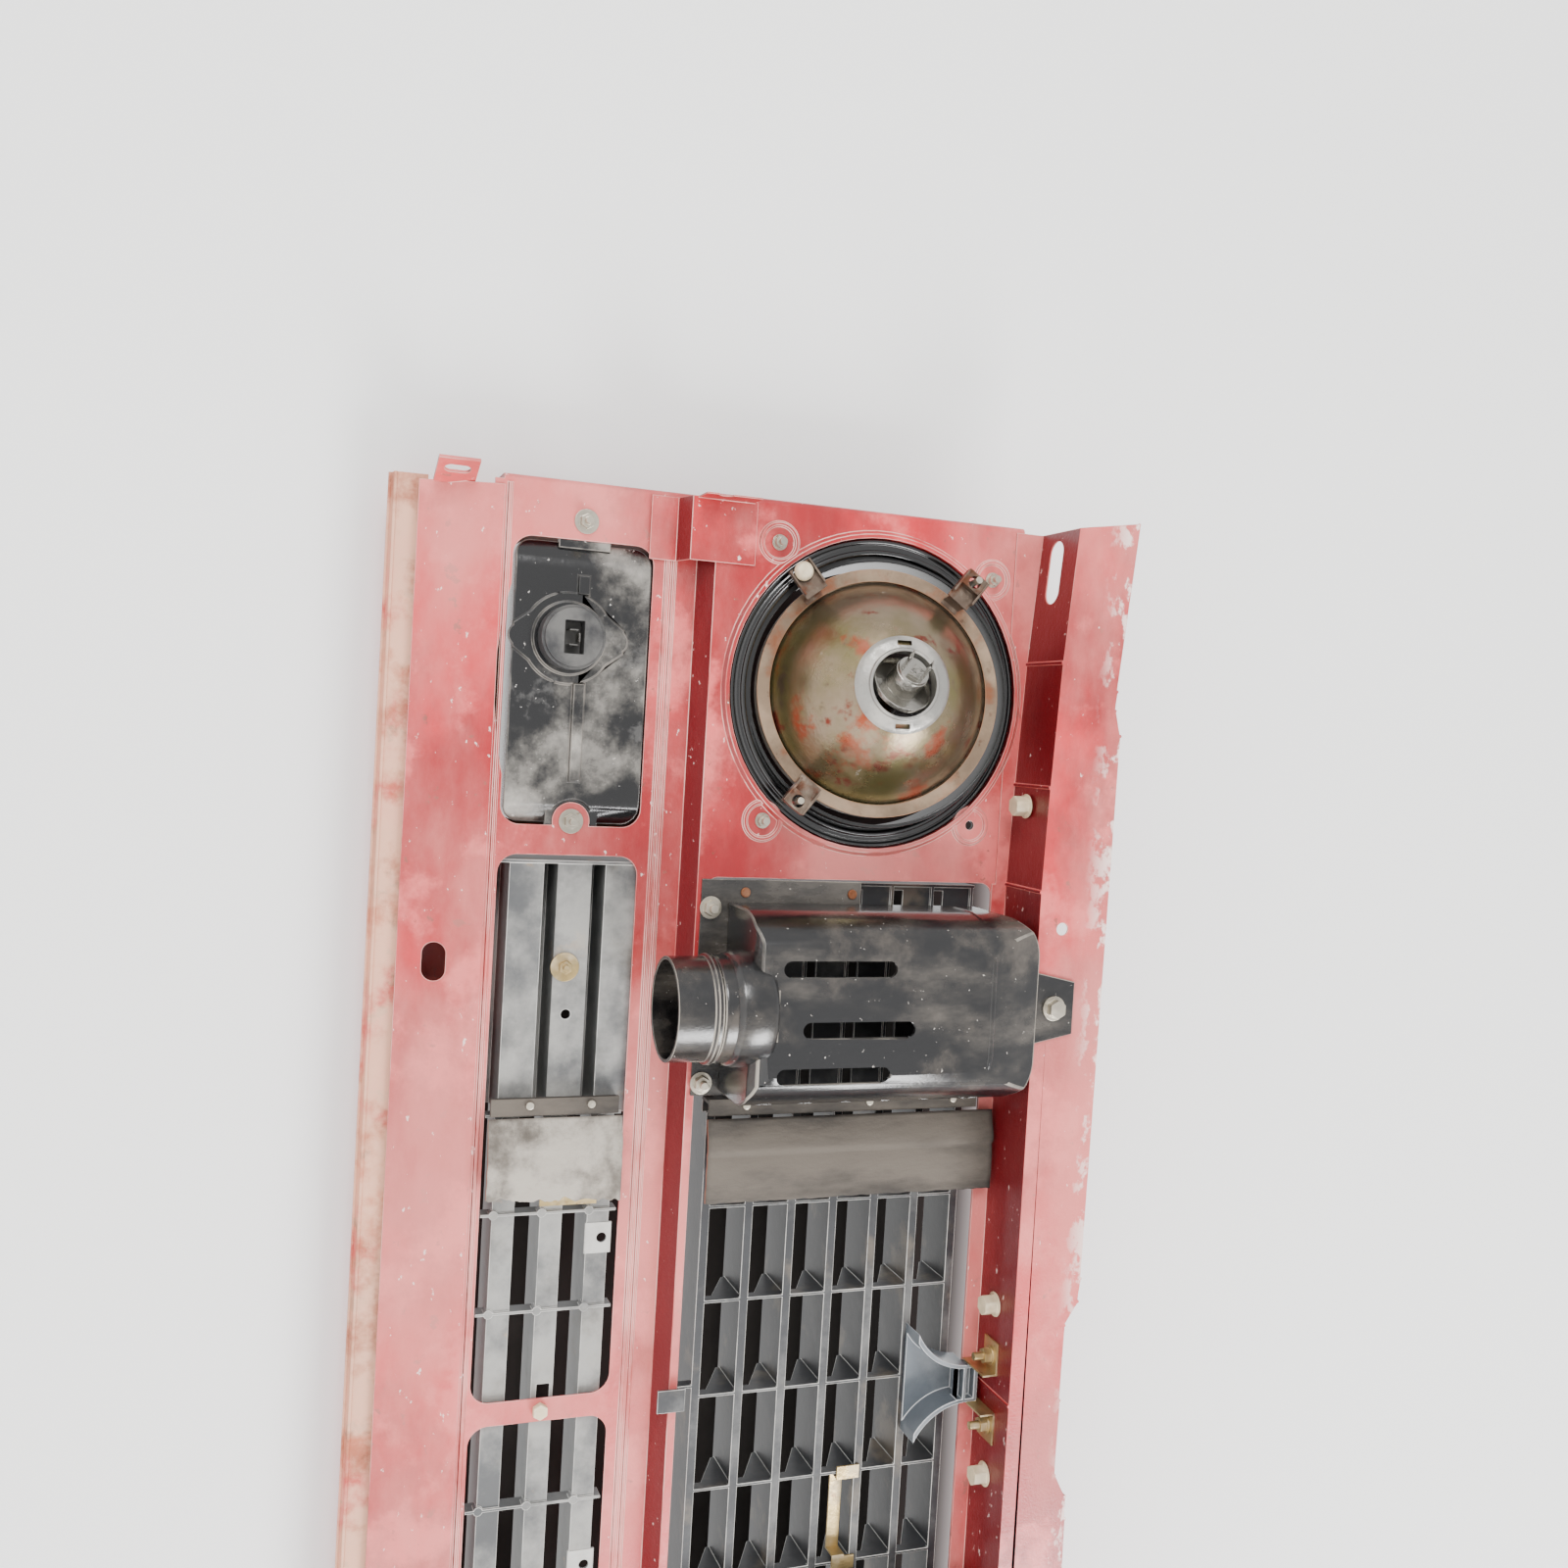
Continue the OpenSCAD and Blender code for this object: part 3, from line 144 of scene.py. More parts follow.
def mix_color(material, factor, under, over):
    return add_node(material, "Mix", {"data_type": "RGBA"}, i0=factor, i6=under, i7=over).outputs[2]


def ramp(material, value, start, end, low=0.0, high=1.0):
    """A value eased from low at start to high at end."""
    made = add_node(material, "MapRange", {"interpolation_type": "SMOOTHSTEP"}, Value=value)
    for key, number in (("From Min", start), ("From Max", end), ("To Min", low), ("To Max", high)):
        made.inputs[key].default_value = number
    return made.outputs[0]


def math_node(material, operation, first, second):
    return add_node(material, "Math", {"operation": operation}, i0=first, i1=second).outputs[0]


pale = new_material("studio_pale", (0.94, 0.94, 0.93), 0.9)
floor_z = -1.0
floor = add_object("floor", square_mesh("floor", [
    (-8, -8, floor_z), (8, -8, floor_z), (8, 8, floor_z), (-8, 8, floor_z)]), pale)

board_pale = new_material("board_pale", (0.96, 0.96, 0.95), 0.9)
tree = board_pale.node_tree
spot = add_node(board_pale, "SeparateXYZ", Vector=add_node(board_pale, "TexCoord").outputs["Object"])
across = ramp(board_pale, math_node(board_pale, "ABSOLUTE", spot.outputs["X"], 0.0), 0.64, 0.6)
below = ramp(board_pale, spot.outputs["Z"], -0.468, -0.44)
above = ramp(board_pale, spot.outputs["Z"], 0.06, -0.01)
shade = math_node(board_pale, "MULTIPLY", across, math_node(board_pale, "MULTIPLY", below, above))
tree.links.new(mix_color(board_pale, shade, (0.96, 0.96, 0.95, 1), tint(30, 25, 22)),
               tree.nodes["Principled BSDF"].inputs["Base Color"])
side = add_node(board_pale, "NewGeometry").outputs["Backfacing"]
clear = add_node(board_pale, "BsdfTransparent").outputs[0]
mix = add_node(board_pale, "MixShader", Fac=side, i1=tree.nodes["Principled BSDF"].outputs[0], i2=clear)
tree.links.new(mix.outputs[0], tree.nodes["Material Output"].inputs["Surface"])
board_y = cad_box[1].y + 0.012
board = add_object("board", square_mesh("board", [
    (-4, board_y, floor_z), (4, board_y, floor_z), (4, board_y, 3), (-4, board_y, 3)]), board_pale)
board.visible_shadow = False
board.visible_diffuse = False
board.visible_glossy = False

world = bpy.data.worlds.new("studio")
world.use_nodes = True
world.node_tree.nodes["Background"].inputs["Color"].default_value = (1, 1, 1, 1)
world.node_tree.nodes["Background"].inputs["Strength"].default_value = 1.25
bpy.context.scene.world = world


def add_light(name, place, target, size, power):
    light = bpy.data.lights.new(name, "AREA")
    light.size = size
    light.energy = power
    lamp = bpy.data.objects.new(name, light)
    lamp.location = place
    lamp.rotation_euler = (Vector(target) - Vector(place)).to_track_quat("-Z", "Y").to_euler()
    bpy.context.scene.collection.objects.link(lamp)


middle = (cad_box[0] + cad_box[1]) / 2
add_light("sky_behind", (2.6, -2.3, 1.3), middle, 1.6, 210)
add_light("sky_low", (-2.4, -2.2, -0.7), middle, 0.9, 60)
add_light("sky_front", (0.8, 2.8, 1.6), middle, 2.4, 80)

# ---- Red sheet steel ----
# The pressed panel, the rail with its ledge, the closing strip, the outer skin and the two joint plates, spot
# welded together. Old red paint: chalky and dusty where it faces the rear, worn to a pale skin along edges,
# with painted shade that turns the walls facing down a darker red, and pale chips towards the ledge's outer
# edge that are partly wear and partly a painted reflection of the sky.
def patches(material, scale, start, end, stretch=(1, 1, 1), shift=0.0, detail=6.0):
    """Cloudy patches from 0 to 1 over the object, stretched along an axis where its number is small."""
    spot = add_node(material, "TexCoord").outputs["Object"]
    placed = add_node(material, "Mapping", Vector=spot, Scale=stretch, Location=(shift, shift * 0.7, -shift))
    cloud = add_node(material, "TexNoise", Vector=placed.outputs[0], Scale=scale, Detail=detail,
                     Roughness=0.62)
    return ramp(material, cloud.outputs["Fac"], start, end)


def facing(material, direction, start=0.2, end=0.9):
    """1 where the surface faces direction, 0 where it faces away."""
    normal = add_node(material, "TexCoord").outputs["Normal"]
    dot = add_node(material, "VectorMath", {"operation": "DOT_PRODUCT"}, i0=normal, i1=direction)
    return ramp(material, dot.outputs["Value"], start, end)


def worn(name, color, dust, roughness, cover=0.6, scale=7.0, stretch=(1, 1, 1), metal=0.0, bump=0.15,
         coat=0.0, soft=0.24, strength=None, stains=()):
    """A material under uneven dust. Each stain under it is its colour, scale, start, end and shift."""
    material = new_material(name, color[:3], roughness, Metallic=metal, Coat_Weight=coat, Coat_Roughness=0.2)
    shader = material.node_tree.nodes["Principled BSDF"]
    links = material.node_tree.links
    deep = [c * 0.72 for c in color[:3]] + [1]
    skin = mix_color(material, patches(material, scale * 0.6, 0.35, 0.65, stretch, 3.1), color, deep)
    for stain, stain_scale, start, end, shift in stains:
        skin = mix_color(material, patches(material, stain_scale, start, end, (1, 1, 1), shift), skin, stain)
    rear = facing(material, (0, -1, 0), 0.0, 0.9)
    start = 0.62 - 0.4 * cover
    cloud = patches(material, scale, start, start + soft, stretch, 1.7, 9.0)
    strength = strength or cover
    settled = math_node(material, "MULTIPLY", cloud,
                        ramp(material, rear, 0.0, 1.0, 0.25 * strength, strength))
    skin = mix_color(material, settled, skin, dust)
    links.new(skin, shader.inputs["Base Color"])
    links.new(ramp(material, settled, 0.0, 1.0, roughness, 0.9), shader.inputs["Roughness"])
    if metal:
        links.new(ramp(material, settled, 0.0, 0.9, metal, 0.0), shader.inputs["Metallic"])
    relief = math_node(material, "ADD", patches(material, scale * 2.2, 0.2, 0.8, stretch, 5.0),
                       math_node(material, "MULTIPLY", patches(material, 420, 0.3, 0.7), 0.12))
    links.new(add_node(material, "Bump", Height=relief, Strength=bump, Distance=0.002).outputs[0],
              shader.inputs["Normal"])
    return material


def softened(node, width, *materials, sharp=38):
    """A CAD node's shape as a piece with rounded edges. The second material goes on the rounded edges."""
    mesh = bpy.data.meshes.new(node + "_shape")
    shape = bmesh.new()
    shape.from_mesh(frame["nodes"][node].data)
    bmesh.ops.remove_doubles(shape, verts=shape.verts, dist=2e-6)
    bmesh.ops.dissolve_limit(shape, angle_limit=math.radians(0.4), verts=shape.verts, edges=shape.edges)
    for face in shape.faces:
        face.material_index = 0
        face.smooth = True
    if width:
        crisp = [e for e in shape.edges if len(e.link_faces) == 2 and e.calc_length() > width * 0.6
                 and e.calc_face_angle(0) > math.radians(sharp)]
        bmesh.ops.bevel(shape, geom=crisp, offset=width, segments=2, profile=0.5, affect="EDGES",
                        clamp_overlap=False, loop_slide=True, material=len(materials) - 1)
    for edge in shape.edges:
        edge.smooth = edge.calc_face_angle(0) < math.radians(sharp)
    shape.to_mesh(mesh)
    shape.free()
    for face in mesh.polygons:
        face.use_smooth = True
    piece = add_object(node + "_piece", mesh, *materials)
    even = piece.modifiers.new("even", "WEIGHTED_NORMAL")
    even.keep_sharp = True
    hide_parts(node)
    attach(piece, body_of(frame["nodes"][node])[0])
    return piece


red_paint = worn("red_paint", tint(170, 16, 26), tint(226, 138, 130), 0.34, cover=0.7, scale=6.0,
                 stretch=(0.5, 1, 1), bump=0.4, coat=0.3, soft=0.3,
                 stains=((tint(206, 30, 42), 5, 0.42, 0.6, 2.0), (tint(226, 96, 94), 17, 0.5, 0.66, 6.0),
                         (tint(132, 56, 44), 70, 0.63, 0.68, 4.0)))
red_base_input = red_paint.node_tree.nodes["Principled BSDF"].inputs["Base Color"]
# Painted shade: faces that look down are mixed towards a darker red.
under = facing(red_paint, (0, 0, -1), 0.4, 0.9)
with_painted_shade = mix_color(red_paint, under, red_base_input.links[0].from_socket, tint(104, 12, 20))
place = add_node(red_paint, "SeparateXYZ", Vector=add_node(red_paint, "TexCoord").outputs["Object"])
# Above the ledge line the paint turns pale in chips: partly wear, partly a painted reflection of the sky.
# Small scuffs elsewhere are wear.
upper = ramp(red_paint, place.outputs["Z"], 0.014, 0.04)
outer = math_node(red_paint, "MULTIPLY", upper, patches(red_paint, 75, 0.52, 0.6, (0.7, 1, 1), 7.0))
scuffs = patches(red_paint, 190, 0.67, 0.71, (0.6, 1, 1), 9.0, 4.0)
wear_and_painted_reflection = math_node(red_paint, "MAXIMUM", outer, math_node(red_paint, "MULTIPLY", scuffs, 0.8))
red_paint.node_tree.links.new(mix_color(red_paint, wear_and_painted_reflection, with_painted_shade, tint(246, 220, 212)), red_base_input)

red_edge = worn("red_edge", tint(206, 96, 90), tint(240, 196, 186), 0.6, cover=0.7, scale=40.0,
                stretch=(0.3, 1, 1), stains=((tint(140, 64, 46), 55, 0.6, 0.68, 1.0),))
for node in ("front_panel", "top_rail", "bottom_strip", "joint_plate_left", "joint_plate_right"):
    softened(node, 0.0004, red_paint, red_edge)

# The outer skin is the painted face of the front: its inside edge has rusted to a pale orange.
rusty_edge = worn("rusty_edge", tint(196, 112, 82), tint(240, 192, 164), 0.75, cover=0.7, scale=30.0,
                  stains=((tint(190, 60, 56), 14, 0.5, 0.62, 3.0), (tint(128, 74, 48), 60, 0.58, 0.68, 1.0)))
skin = softened("outer_skin", 0.0004, red_paint, rusty_edge)
skin_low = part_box("outer_skin")[0]
hem_depth, hem_height = 0.035, 0.03
for face in skin.data.polygons:
    if face.center.y < skin_low.y + hem_depth and face.center.z < skin_low.z + hem_height:
        face.material_index = 1

# ---- Grilles ----
# Two moulded black plastic grids seen from behind: greyed by dust on the ribs' rear edges, dark between them.
# The lower one is paler and dirtier. They hook over the openings' lips.
grille_black = worn("grille_black", tint(40, 41, 44), tint(150, 149, 146), 0.5, cover=0.4, scale=14.0,
                    bump=0.1, stains=((tint(84, 76, 66), 16, 0.55, 0.7, 1.0),))
grille_edge = worn("grille_edge", tint(150, 150, 148), tint(222, 220, 214), 0.7, cover=0.8, scale=40.0)
grille_grey = worn("grille_grey", tint(84, 85, 86), tint(186, 184, 178), 0.55, cover=0.6, scale=11.0, bump=0.1,
                   stains=((tint(70, 66, 60), 13, 0.56, 0.68, 6.0),
                           (tint(120, 100, 78), 30, 0.62, 0.7, 2.0)))
softened("upper_grille", 0.0004, grille_black, grille_edge)
softened("lower_grille", 0.0004, grille_grey, grille_edge)

# White-painted lug with a screw hole on the lower grille, on both sides of the middle.
white_paint = worn("white_paint", tint(206, 204, 198), tint(150, 142, 130), 0.5, cover=0.3, scale=40.0)
bolt_low, bolt_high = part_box("crossbar_bolts")
lug_half_w, lug_half_h, lug_hole_r, lug_hole_up, lug_steps = 0.0108, 0.0092, 0.0036, 0.0025, 32
for sign in (-1, 1):
    inner, outer_ring = [], []
    for k in range(lug_steps):
        angle = 2 * math.pi * (k + 0.5) / lug_steps
        c, t = math.cos(angle), math.sin(angle)
        edge = 1 / max(abs(c) / lug_half_w, abs(t) / lug_half_h)
        inner.append((lug_hole_r * c, 0, lug_hole_r * t + lug_hole_up))
        outer_ring.append((edge * c, 0, edge * t))
    faces = [(k, lug_steps + k, lug_steps + (k + 1) % lug_steps, (k + 1) % lug_steps)
             for k in range(lug_steps)]
    lug = bpy.data.meshes.new("lug")
    lug.from_pydata(inner + outer_ring, [], faces)
    plate = add_object("lug_left" if sign < 0 else "lug_right", lug, white_paint)
    plate.location = (sign * 0.117, bolt_high.y + 0.0012, (bolt_low.z + bolt_high.z) / 2 + 0.0357)
    leaf = plate.modifiers.new("thick", "SOLIDIFY")
    leaf.thickness = 0.0005
    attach(plate, "root")

# ---- Gusset and fixings ----
# A grey moulded web with a raised rim, between two plated angles that are bolted up into the wall, and the
# grilles' own fixings: plated screws and brackets, and cream plastic plugs.
gusset_grey = worn("gusset_grey", tint(96, 103, 110), tint(186, 188, 190), 0.45, cover=0.3, scale=10.0)
gusset_edge = worn("gusset_edge", tint(176, 180, 184), tint(230, 230, 230), 0.6, cover=0.7, scale=30.0)
softened("grille_gusset", 0.0005, gusset_grey, gusset_edge)

zinc = worn("zinc", tint(196, 188, 172), tint(206, 196, 178), 0.32, cover=0.35, scale=60.0, metal=0.85,
            stains=((tint(122, 84, 56), 90, 0.6, 0.7, 0.0),))
yellow_zinc = worn("yellow_zinc", tint(196, 170, 118), tint(214, 204, 182), 0.34, cover=0.4, scale=50.0,
                   metal=0.8, stains=((tint(120, 78, 48), 80, 0.6, 0.7, 2.0),))
cream_plastic = worn("cream_plastic", tint(226, 206, 170), tint(238, 226, 200), 0.5, cover=0.5, scale=70.0)
copper = worn("copper_rivet", tint(150, 92, 60), tint(196, 150, 120), 0.5, cover=0.4, scale=90.0, metal=0.6)
for node in ("gusset_brackets", "gusset_bolts", "grille_fixings", "badge_bracket"):
    softened(node, 0.0003, yellow_zinc)
for node in ("rail_bolts", "crossbar_bolts"):
    softened(node, 0.0008, cream_plastic)

# ---- Air intake ----
# A blow-moulded duct of glossy black plastic under brown-grey dust, thickest on its rear, with a flange
# behind it, a ribbed spigot below and a bar above that is bolted to the ledge.
duct_plastic = worn("duct_plastic", tint(16, 16, 18), tint(160, 150, 138), 0.22, cover=0.36, strength=0.6,
                    scale=9.0, stretch=(1, 1, 0.4), coat=0.4, bump=0.2, soft=0.3,
                    stains=((tint(74, 68, 62), 13, 0.5, 0.68, 2.0),
                            (tint(200, 194, 186), 240, 0.68, 0.72, 5.0)))
duct_edge = worn("duct_edge", tint(60, 58, 56), tint(170, 162, 150), 0.4, cover=0.7, scale=20.0)
softened("duct_body", 0.0014, duct_plastic, duct_edge)
for node in ("duct_base_plate", "duct_tail_bar"):
    softened(node, 0.0005, duct_plastic, duct_edge)
softened("duct_spigot", 0.0006, duct_plastic, duct_edge)
softened("duct_bolts", 0.0005, zinc)


def lathe(name, profile, steps, *materials):
    """A mesh turned about Z from points of radius and height, which stands on a face as rings."""
    verts = [(r * math.cos(2 * math.pi * k / steps), r * math.sin(2 * math.pi * k / steps), z)
             for r, z in profile for k in range(steps)]
    faces = [[i * steps + k, i * steps + (k + 1) % steps,
              (i + 1) * steps + (k + 1) % steps, (i + 1) * steps + k]
             for i in range(len(profile) - 1) for k in range(steps)]
    mesh = bpy.data.meshes.new(name)
    mesh.from_pydata(verts, [], faces)
    for face in mesh.polygons:
        face.use_smooth = True
    return add_object(name, mesh, *materials)


# A moulded collar where the spigot leaves the body. Each point is its radius and its height over the joint.
spigot_low, spigot_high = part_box("duct_spigot")
collar_profile = [(0.0352, -0.014), (0.0376, -0.0128), (0.0388, -0.009), (0.0391, 0.0), (0.0391, 0.010),
                  (0.0375, 0.0135), (0.0352, 0.0145)]
collar_rings = lathe("spigot_collar", collar_profile, 72, duct_plastic)
collar_rings.location = ((spigot_low.x + spigot_high.x) / 2, (spigot_low.y + spigot_high.y) / 2,
                         spigot_high.z)
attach(collar_rings, "root")

# A raised crease that runs round the duct's sides and rear, bowed up in the middle.
body_low, body_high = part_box("duct_body")
body_mid = (body_low + body_high) / 2
half_w, round_r = (body_high.x - body_low.x) / 2, 0.036
front_end, turn_steps, cross_steps = body_high.y - 0.012, 24, 8
crease_down, crease_w, crease_bow, crease_lift, sunk = 0.046, 0.005, 0.006, 0.0009, 0.0012
crease_path = [(-half_w, front_end)]
for k in range(turn_steps + 1):
    turn = math.pi * k / turn_steps
    side_x = -1 if turn < math.pi / 2 else 1
    crease_path.append((side_x * (half_w - round_r) - round_r * math.cos(turn),
                        body_low.y + round_r - round_r * math.sin(turn)))
crease_path.append((half_w, front_end))
verts, faces = [], []
for x, y in crease_path:
    out = Vector((x - max(-half_w + round_r, min(half_w - round_r, x)), y - body_low.y - round_r))
    out = out.normalized() if y < body_low.y + round_r else Vector((math.copysign(1, x), 0))
    bow = crease_bow * math.cos(x / half_w * math.pi / 2)
    for k in range(cross_steps + 1):
        swell = math.sin(math.pi * k / cross_steps)
        lift = crease_lift * swell - (0 if swell > 0.01 else sunk)
        verts.append((body_mid.x + x + out.x * lift, y + out.y * lift,
                      body_high.z - crease_down + bow + crease_w * (k / cross_steps - 0.5)))
for i in range(len(crease_path) - 1):
    for k in range(cross_steps):
        corner = i * (cross_steps + 1) + k
        faces.append((corner, corner + cross_steps + 1, corner + cross_steps + 2, corner + 1))
crease_mesh = bpy.data.meshes.new("duct_crease")
crease_mesh.from_pydata(verts, [], faces)
for face in crease_mesh.polygons:
    face.use_smooth = True
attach(add_object("duct_crease", crease_mesh, duct_plastic), "root")
softened("duct_rivets", 0.0008, copper)

# ---- Rubber flaps ----
# Strips of old sheet rubber, riveted to a retainer and lying over the grille. The upper one is creased along
# its middle; the lower one is paler, frayed and torn along its free end.
rubber_dark = worn("rubber_dark", tint(52, 48, 44), tint(116, 107, 97), 0.85, cover=0.6, scale=16.0,
                   stretch=(1, 1, 0.3), bump=0.3)
rubber_pale = worn("rubber_pale", tint(104, 97, 89), tint(188, 180, 168), 0.9, cover=0.75, scale=26.0,
                   bump=0.5)
rubber_torn = worn("rubber_torn", tint(130, 72, 52), tint(206, 160, 130), 0.9, cover=0.5, scale=60.0,
                   bump=0.5)


def flap_sheet(side, row, crease, fray, skew, cloth):
    """The sheet between its hinge line and its free edge, thickened, with a crease and a frayed end.

    crease is the fold's depth, fray the share of the reach that the free edge wanders, skew the share that it
    draws in towards the bottom.
    """
    node = f"flap_{row}_{side}"
    low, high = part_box(node)
    outward = 1 if side == "right" else -1
    hinge_inset, end_inset, across, along = 0.0015, 0.001, 26, 60
    root_x = (high.x if side == "right" else low.x) - outward * hinge_inset
    reach = (high.x - low.x) - 2 * hinge_inset
    verts, faces = [], []
    for j in range(along + 1):
        v = j / along
        z = low.z + end_inset + (high.z - low.z - 2 * end_inset) * v
        ragged = noise.noise(Vector((z * 160, 1.3, len(node)))) * fray
        for i in range(across + 1):
            u = i / across
            length = reach * (1 - abs(ragged) * u - skew * u * (1 - v))
            lift = 0.0062 * math.sin(math.pi * min(1, u * 1.15) * 0.62)
            fold = -crease / (1 + math.exp((u - 0.4) / 0.008))
            wave = 0.0007 * noise.noise(Vector((u * 3, v * 5, 2.0))) * u
            y = high.y - 0.0016 - lift + fold + wave
            verts.append((root_x - outward * length * u, y, z + 0.0006 * noise.noise(Vector((u * 5, v, 7)))))
    row_len = across + 1
    for j in range(along):
        for i in range(across):
            corner = j * row_len + i
            faces.append((corner, corner + 1, corner + row_len + 1, corner + row_len))
    mesh = bpy.data.meshes.new(node + "_sheet")
    mesh.from_pydata(verts, [], faces)
    for face in mesh.polygons:
        face.use_smooth = True
    piece = add_object(node + "_rubber", mesh, cloth, rubber_torn)
    thick = piece.modifiers.new("thick", "SOLIDIFY")
    thick.thickness = 0.0024
    thick.offset = 0
    thick.material_offset_rim = 1
    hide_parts(node)
    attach(piece, body_of(frame["nodes"][node])[0])


for side in ("left", "right"):
    flap_sheet(side, "upper", 0.0022, 0.03, 0.0, rubber_dark)
    flap_sheet(side, "lower", 0.0006, 0.08, 0.07, rubber_pale)
softened("flap_retainers", 0.0005, rubber_dark)
softened("flap_rivets", 0.0006, zinc)

# ---- Headlamps ----
# On each side: a glossy black bucket bolted behind the face, three steel clips on the aiming screws, and a
# ring, a pressed reflector with rust coming through, a bright collar and a glass lens that move together.
bucket_black = worn("bucket_black", tint(7, 7, 8), tint(62, 56, 50), 0.5, cover=0.14, scale=9.0)
bucket_edge = worn("bucket_edge", tint(16, 16, 17), tint(90, 84, 78), 0.25, cover=0.2, scale=20.0, coat=0.3)
lamp_ring = worn("lamp_ring", tint(128, 108, 88), tint(176, 152, 126), 0.5, cover=0.5, scale=24.0, metal=0.5,
                 stains=((tint(126, 78, 52), 34, 0.5, 0.66, 1.0), (tint(90, 62, 48), 70, 0.6, 0.68, 4.0)))
bucket_gloss = worn("bucket_gloss", tint(8, 8, 9), tint(80, 74, 68), 0.12, cover=0.14, scale=14.0, coat=0.6,
                    bump=0.02)
ring_edge = worn("ring_edge", tint(168, 122, 90), tint(200, 160, 128), 0.6, cover=0.4, scale=40.0, metal=0.2)
bowl_metal = worn("bowl_metal", tint(142, 126, 106), tint(182, 160, 136), 0.26, cover=0.34, scale=10.0,
                  metal=0.8,
                  stains=((tint(112, 104, 66), 9, 0.42, 0.62, 3.0), (tint(150, 66, 40), 20, 0.54, 0.64, 5.0),
                          (tint(116, 52, 40), 34, 0.58, 0.66, 8.0), (tint(104, 88, 70), 46, 0.58, 0.68, 6.0),
                          (tint(226, 220, 208), 40, 0.68, 0.73, 9.0)))
bright_steel = worn("bright_steel", tint(168, 165, 158), tint(186, 178, 164), 0.22, cover=0.25, scale=40.0,
                    metal=1.0, stains=((tint(150, 120, 92), 60, 0.62, 0.7, 0.0),))
collar_zinc = worn("collar_zinc", tint(158, 156, 151), tint(196, 190, 180), 0.35, cover=0.5, scale=50.0,
                   metal=0.8)
dark_steel = worn("clip_steel", tint(108, 92, 80), tint(190, 172, 152), 0.42, cover=0.4, scale=50.0,
                  metal=0.7, stains=((tint(96, 58, 40), 60, 0.5, 0.64, 3.0),))
glass = new_material("lens_glass", (0.93, 0.96, 0.97), 0.06, Transmission_Weight=1.0, IOR=1.5)
ribs = add_node(glass, "TexWave", {"wave_type": "BANDS", "bands_direction": "X", "wave_profile": "SIN"},
                Vector=add_node(glass, "TexCoord").outputs["Object"], Scale=34.0)
glass.node_tree.links.new(
    add_node(glass, "Bump", Height=ribs.outputs["Fac"], Strength=0.7, Distance=0.003).outputs[0],
    glass.node_tree.nodes["Principled BSDF"].inputs["Normal"])
bulb_glass = new_material("bulb_glass", (0.97, 0.97, 0.95), 0.03, Transmission_Weight=1.0, IOR=1.45)
flange_past_bolts, ring_inner, ring_outer = 0.0113, 0.0985, 0.1106
ring_crests = ((0.1005, 0.0034), (0.1045, 0.0014), (0.1085, 0.0022))  # radius and height of each step
for side in ("left", "right"):
    softened(f"headlamp_bucket_{side}", 0.0007, bucket_black, bucket_edge)
    softened(f"headlamp_bolts_{side}", 0.0004, zinc)
    # Moulded steps of the bucket's flange, which show as rings through the panel's opening.
    low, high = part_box(f"headlamp_bucket_{side}")
    flange_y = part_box(f"headlamp_bolts_{side}")[0].y + flange_past_bolts
    steps_of_ring = [(ring_inner, 0.0)]
    for radius, height in ring_crests:
        steps_of_ring += [(radius - 0.0012, height - 0.0008), (radius, height),
                          (radius + 0.0016, height - 0.0002), (radius + 0.0024, height - 0.0012)]
    rings = lathe(f"bucket_steps_{side}", steps_of_ring + [(ring_outer, 0.0)], 96, bucket_gloss)
    rings.matrix_world = Matrix.Translation(((low.x + high.x) / 2, flange_y, (low.z + high.z) / 2)) \
        @ Matrix.Rotation(math.pi / 2, 4, "X")
    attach(rings, "root")
    softened(f"aim_screws_{side}", 0.0003, zinc)
    softened(f"aim_pivot_{side}", 0.0004, cream_plastic)
    softened(f"headlamp_ring_{side}", 0.0003, lamp_ring, ring_edge)
    softened(f"headlamp_reflector_{side}", 0, bowl_metal, sharp=50)
    softened(f"headlamp_lens_{side}", 0, glass, sharp=50)
    softened(f"bulb_collar_{side}", 0.0003, collar_zinc)
    softened(f"headlamp_bulb_{side}", 0.0003, bright_steel)
    softened(f"aim_clips_{side}", 0.0003, dark_steel)

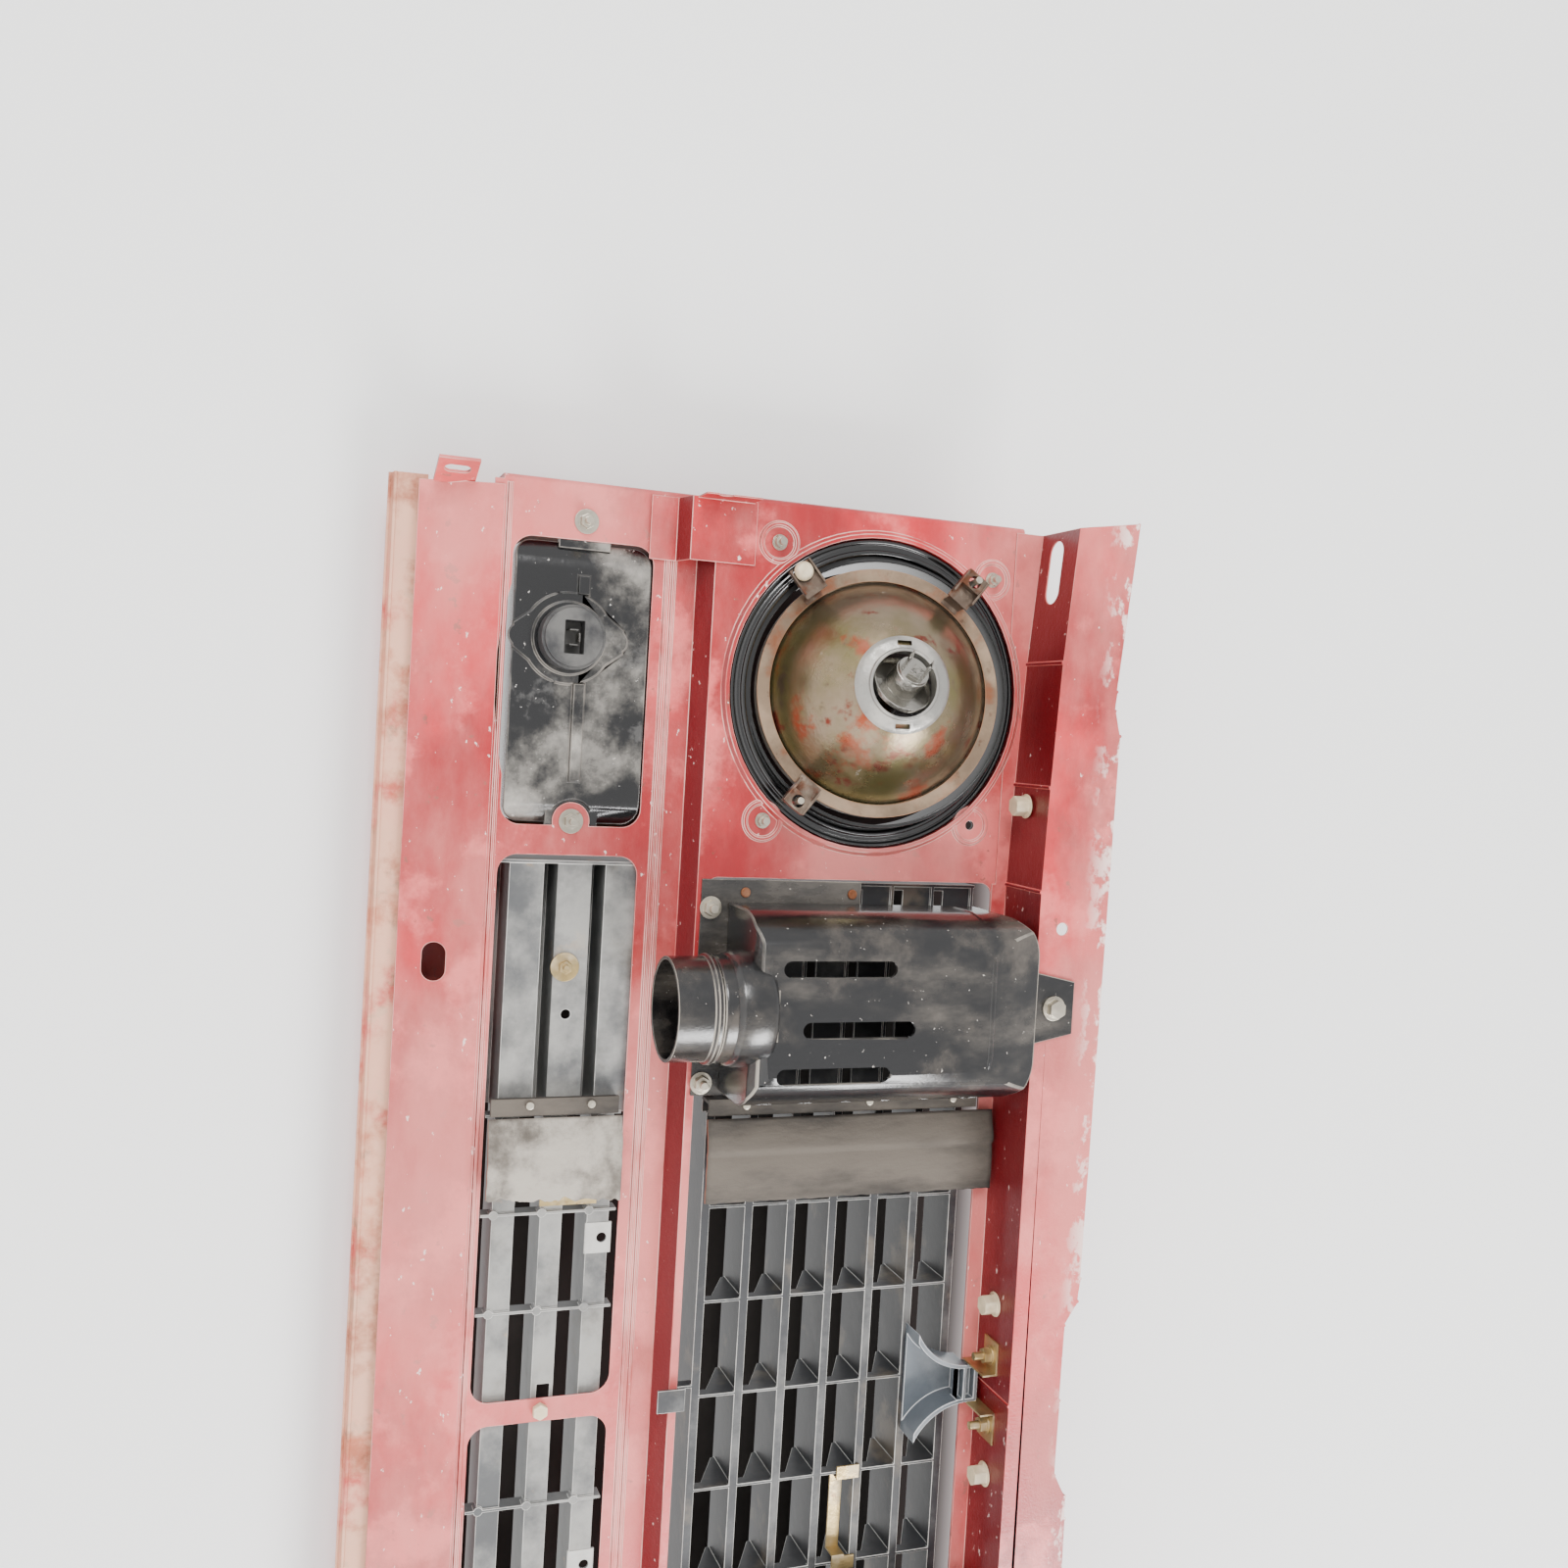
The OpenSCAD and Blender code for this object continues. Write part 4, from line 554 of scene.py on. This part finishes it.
# ---- Turn lamps ----
# Black moulded housings with a long rib and a lozenge boss, dusty on the rear, with an amber lens in front,
# and a twist-in socket whose well shows three bright blades.
turn_black = worn("turn_black", tint(14, 14, 16), tint(190, 184, 174), 0.18, cover=0.34, strength=0.75,
                  scale=10.0, coat=0.4, bump=0.15, soft=0.22,
                  stains=((tint(70, 69, 68), 26, 0.56, 0.64, 3.0),
                          (tint(206, 202, 196), 230, 0.67, 0.7, 5.0)))
turn_edge = worn("turn_edge", tint(52, 51, 50), tint(170, 162, 152), 0.35, cover=0.6, scale=20.0)
socket_grey = worn("socket_grey", tint(44, 44, 46), tint(120, 118, 114), 0.5, cover=0.5, scale=26.0)
amber = new_material("turn_amber", (1.0, 0.36, 0.03), 0.1, Transmission_Weight=0.45, IOR=1.49)
grid = add_node(amber, "TexWave", {"wave_type": "BANDS", "bands_direction": "Z"},
                Vector=add_node(amber, "TexCoord").outputs["Object"], Scale=60.0)
amber.node_tree.links.new(
    add_node(amber, "Bump", Height=grid.outputs["Fac"], Strength=0.5, Distance=0.002).outputs[0],
    amber.node_tree.nodes["Principled BSDF"].inputs["Normal"])
blade_w, blade_thick, blade_deep, blade_mid = 0.0062, 0.0012, 0.0125, 0.0085
blades = ((-0.005, 0.0, blade_thick, blade_w), (0.005, 0.0, blade_thick, blade_w),
          (0.0, 0.004, blade_w, blade_thick))  # each blade's place in the well, then its size
for side in ("left", "right"):
    softened(f"turn_housing_{side}", 0.0009, turn_black, turn_edge)
    softened(f"turn_lens_{side}", 0.0008, amber)
    softened(f"turn_nuts_{side}", 0.0004, zinc)
    softened(f"turn_socket_{side}", 0.0006, socket_grey)
    softened(f"turn_bulb_{side}", 0.0003, bulb_glass)
    low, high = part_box(f"turn_socket_{side}")
    well = (low + high) / 2
    for k, (x, z, wide, tall) in enumerate(blades):
        blade = bpy.data.meshes.new("blade")
        form = bmesh.new()
        place = Matrix.Translation((well.x + x, low.y + blade_mid, well.z + z))
        bmesh.ops.create_cube(form, size=1, matrix=place @ Matrix.Diagonal((wide, blade_deep, tall, 1)))
        bmesh.ops.bevel(form, geom=form.edges, offset=0.0003, segments=1, affect="EDGES")
        form.to_mesh(blade)
        form.free()
        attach(add_object(f"socket_blade_{side}_{k}", blade, bright_steel), f"turn_socket_{side}")
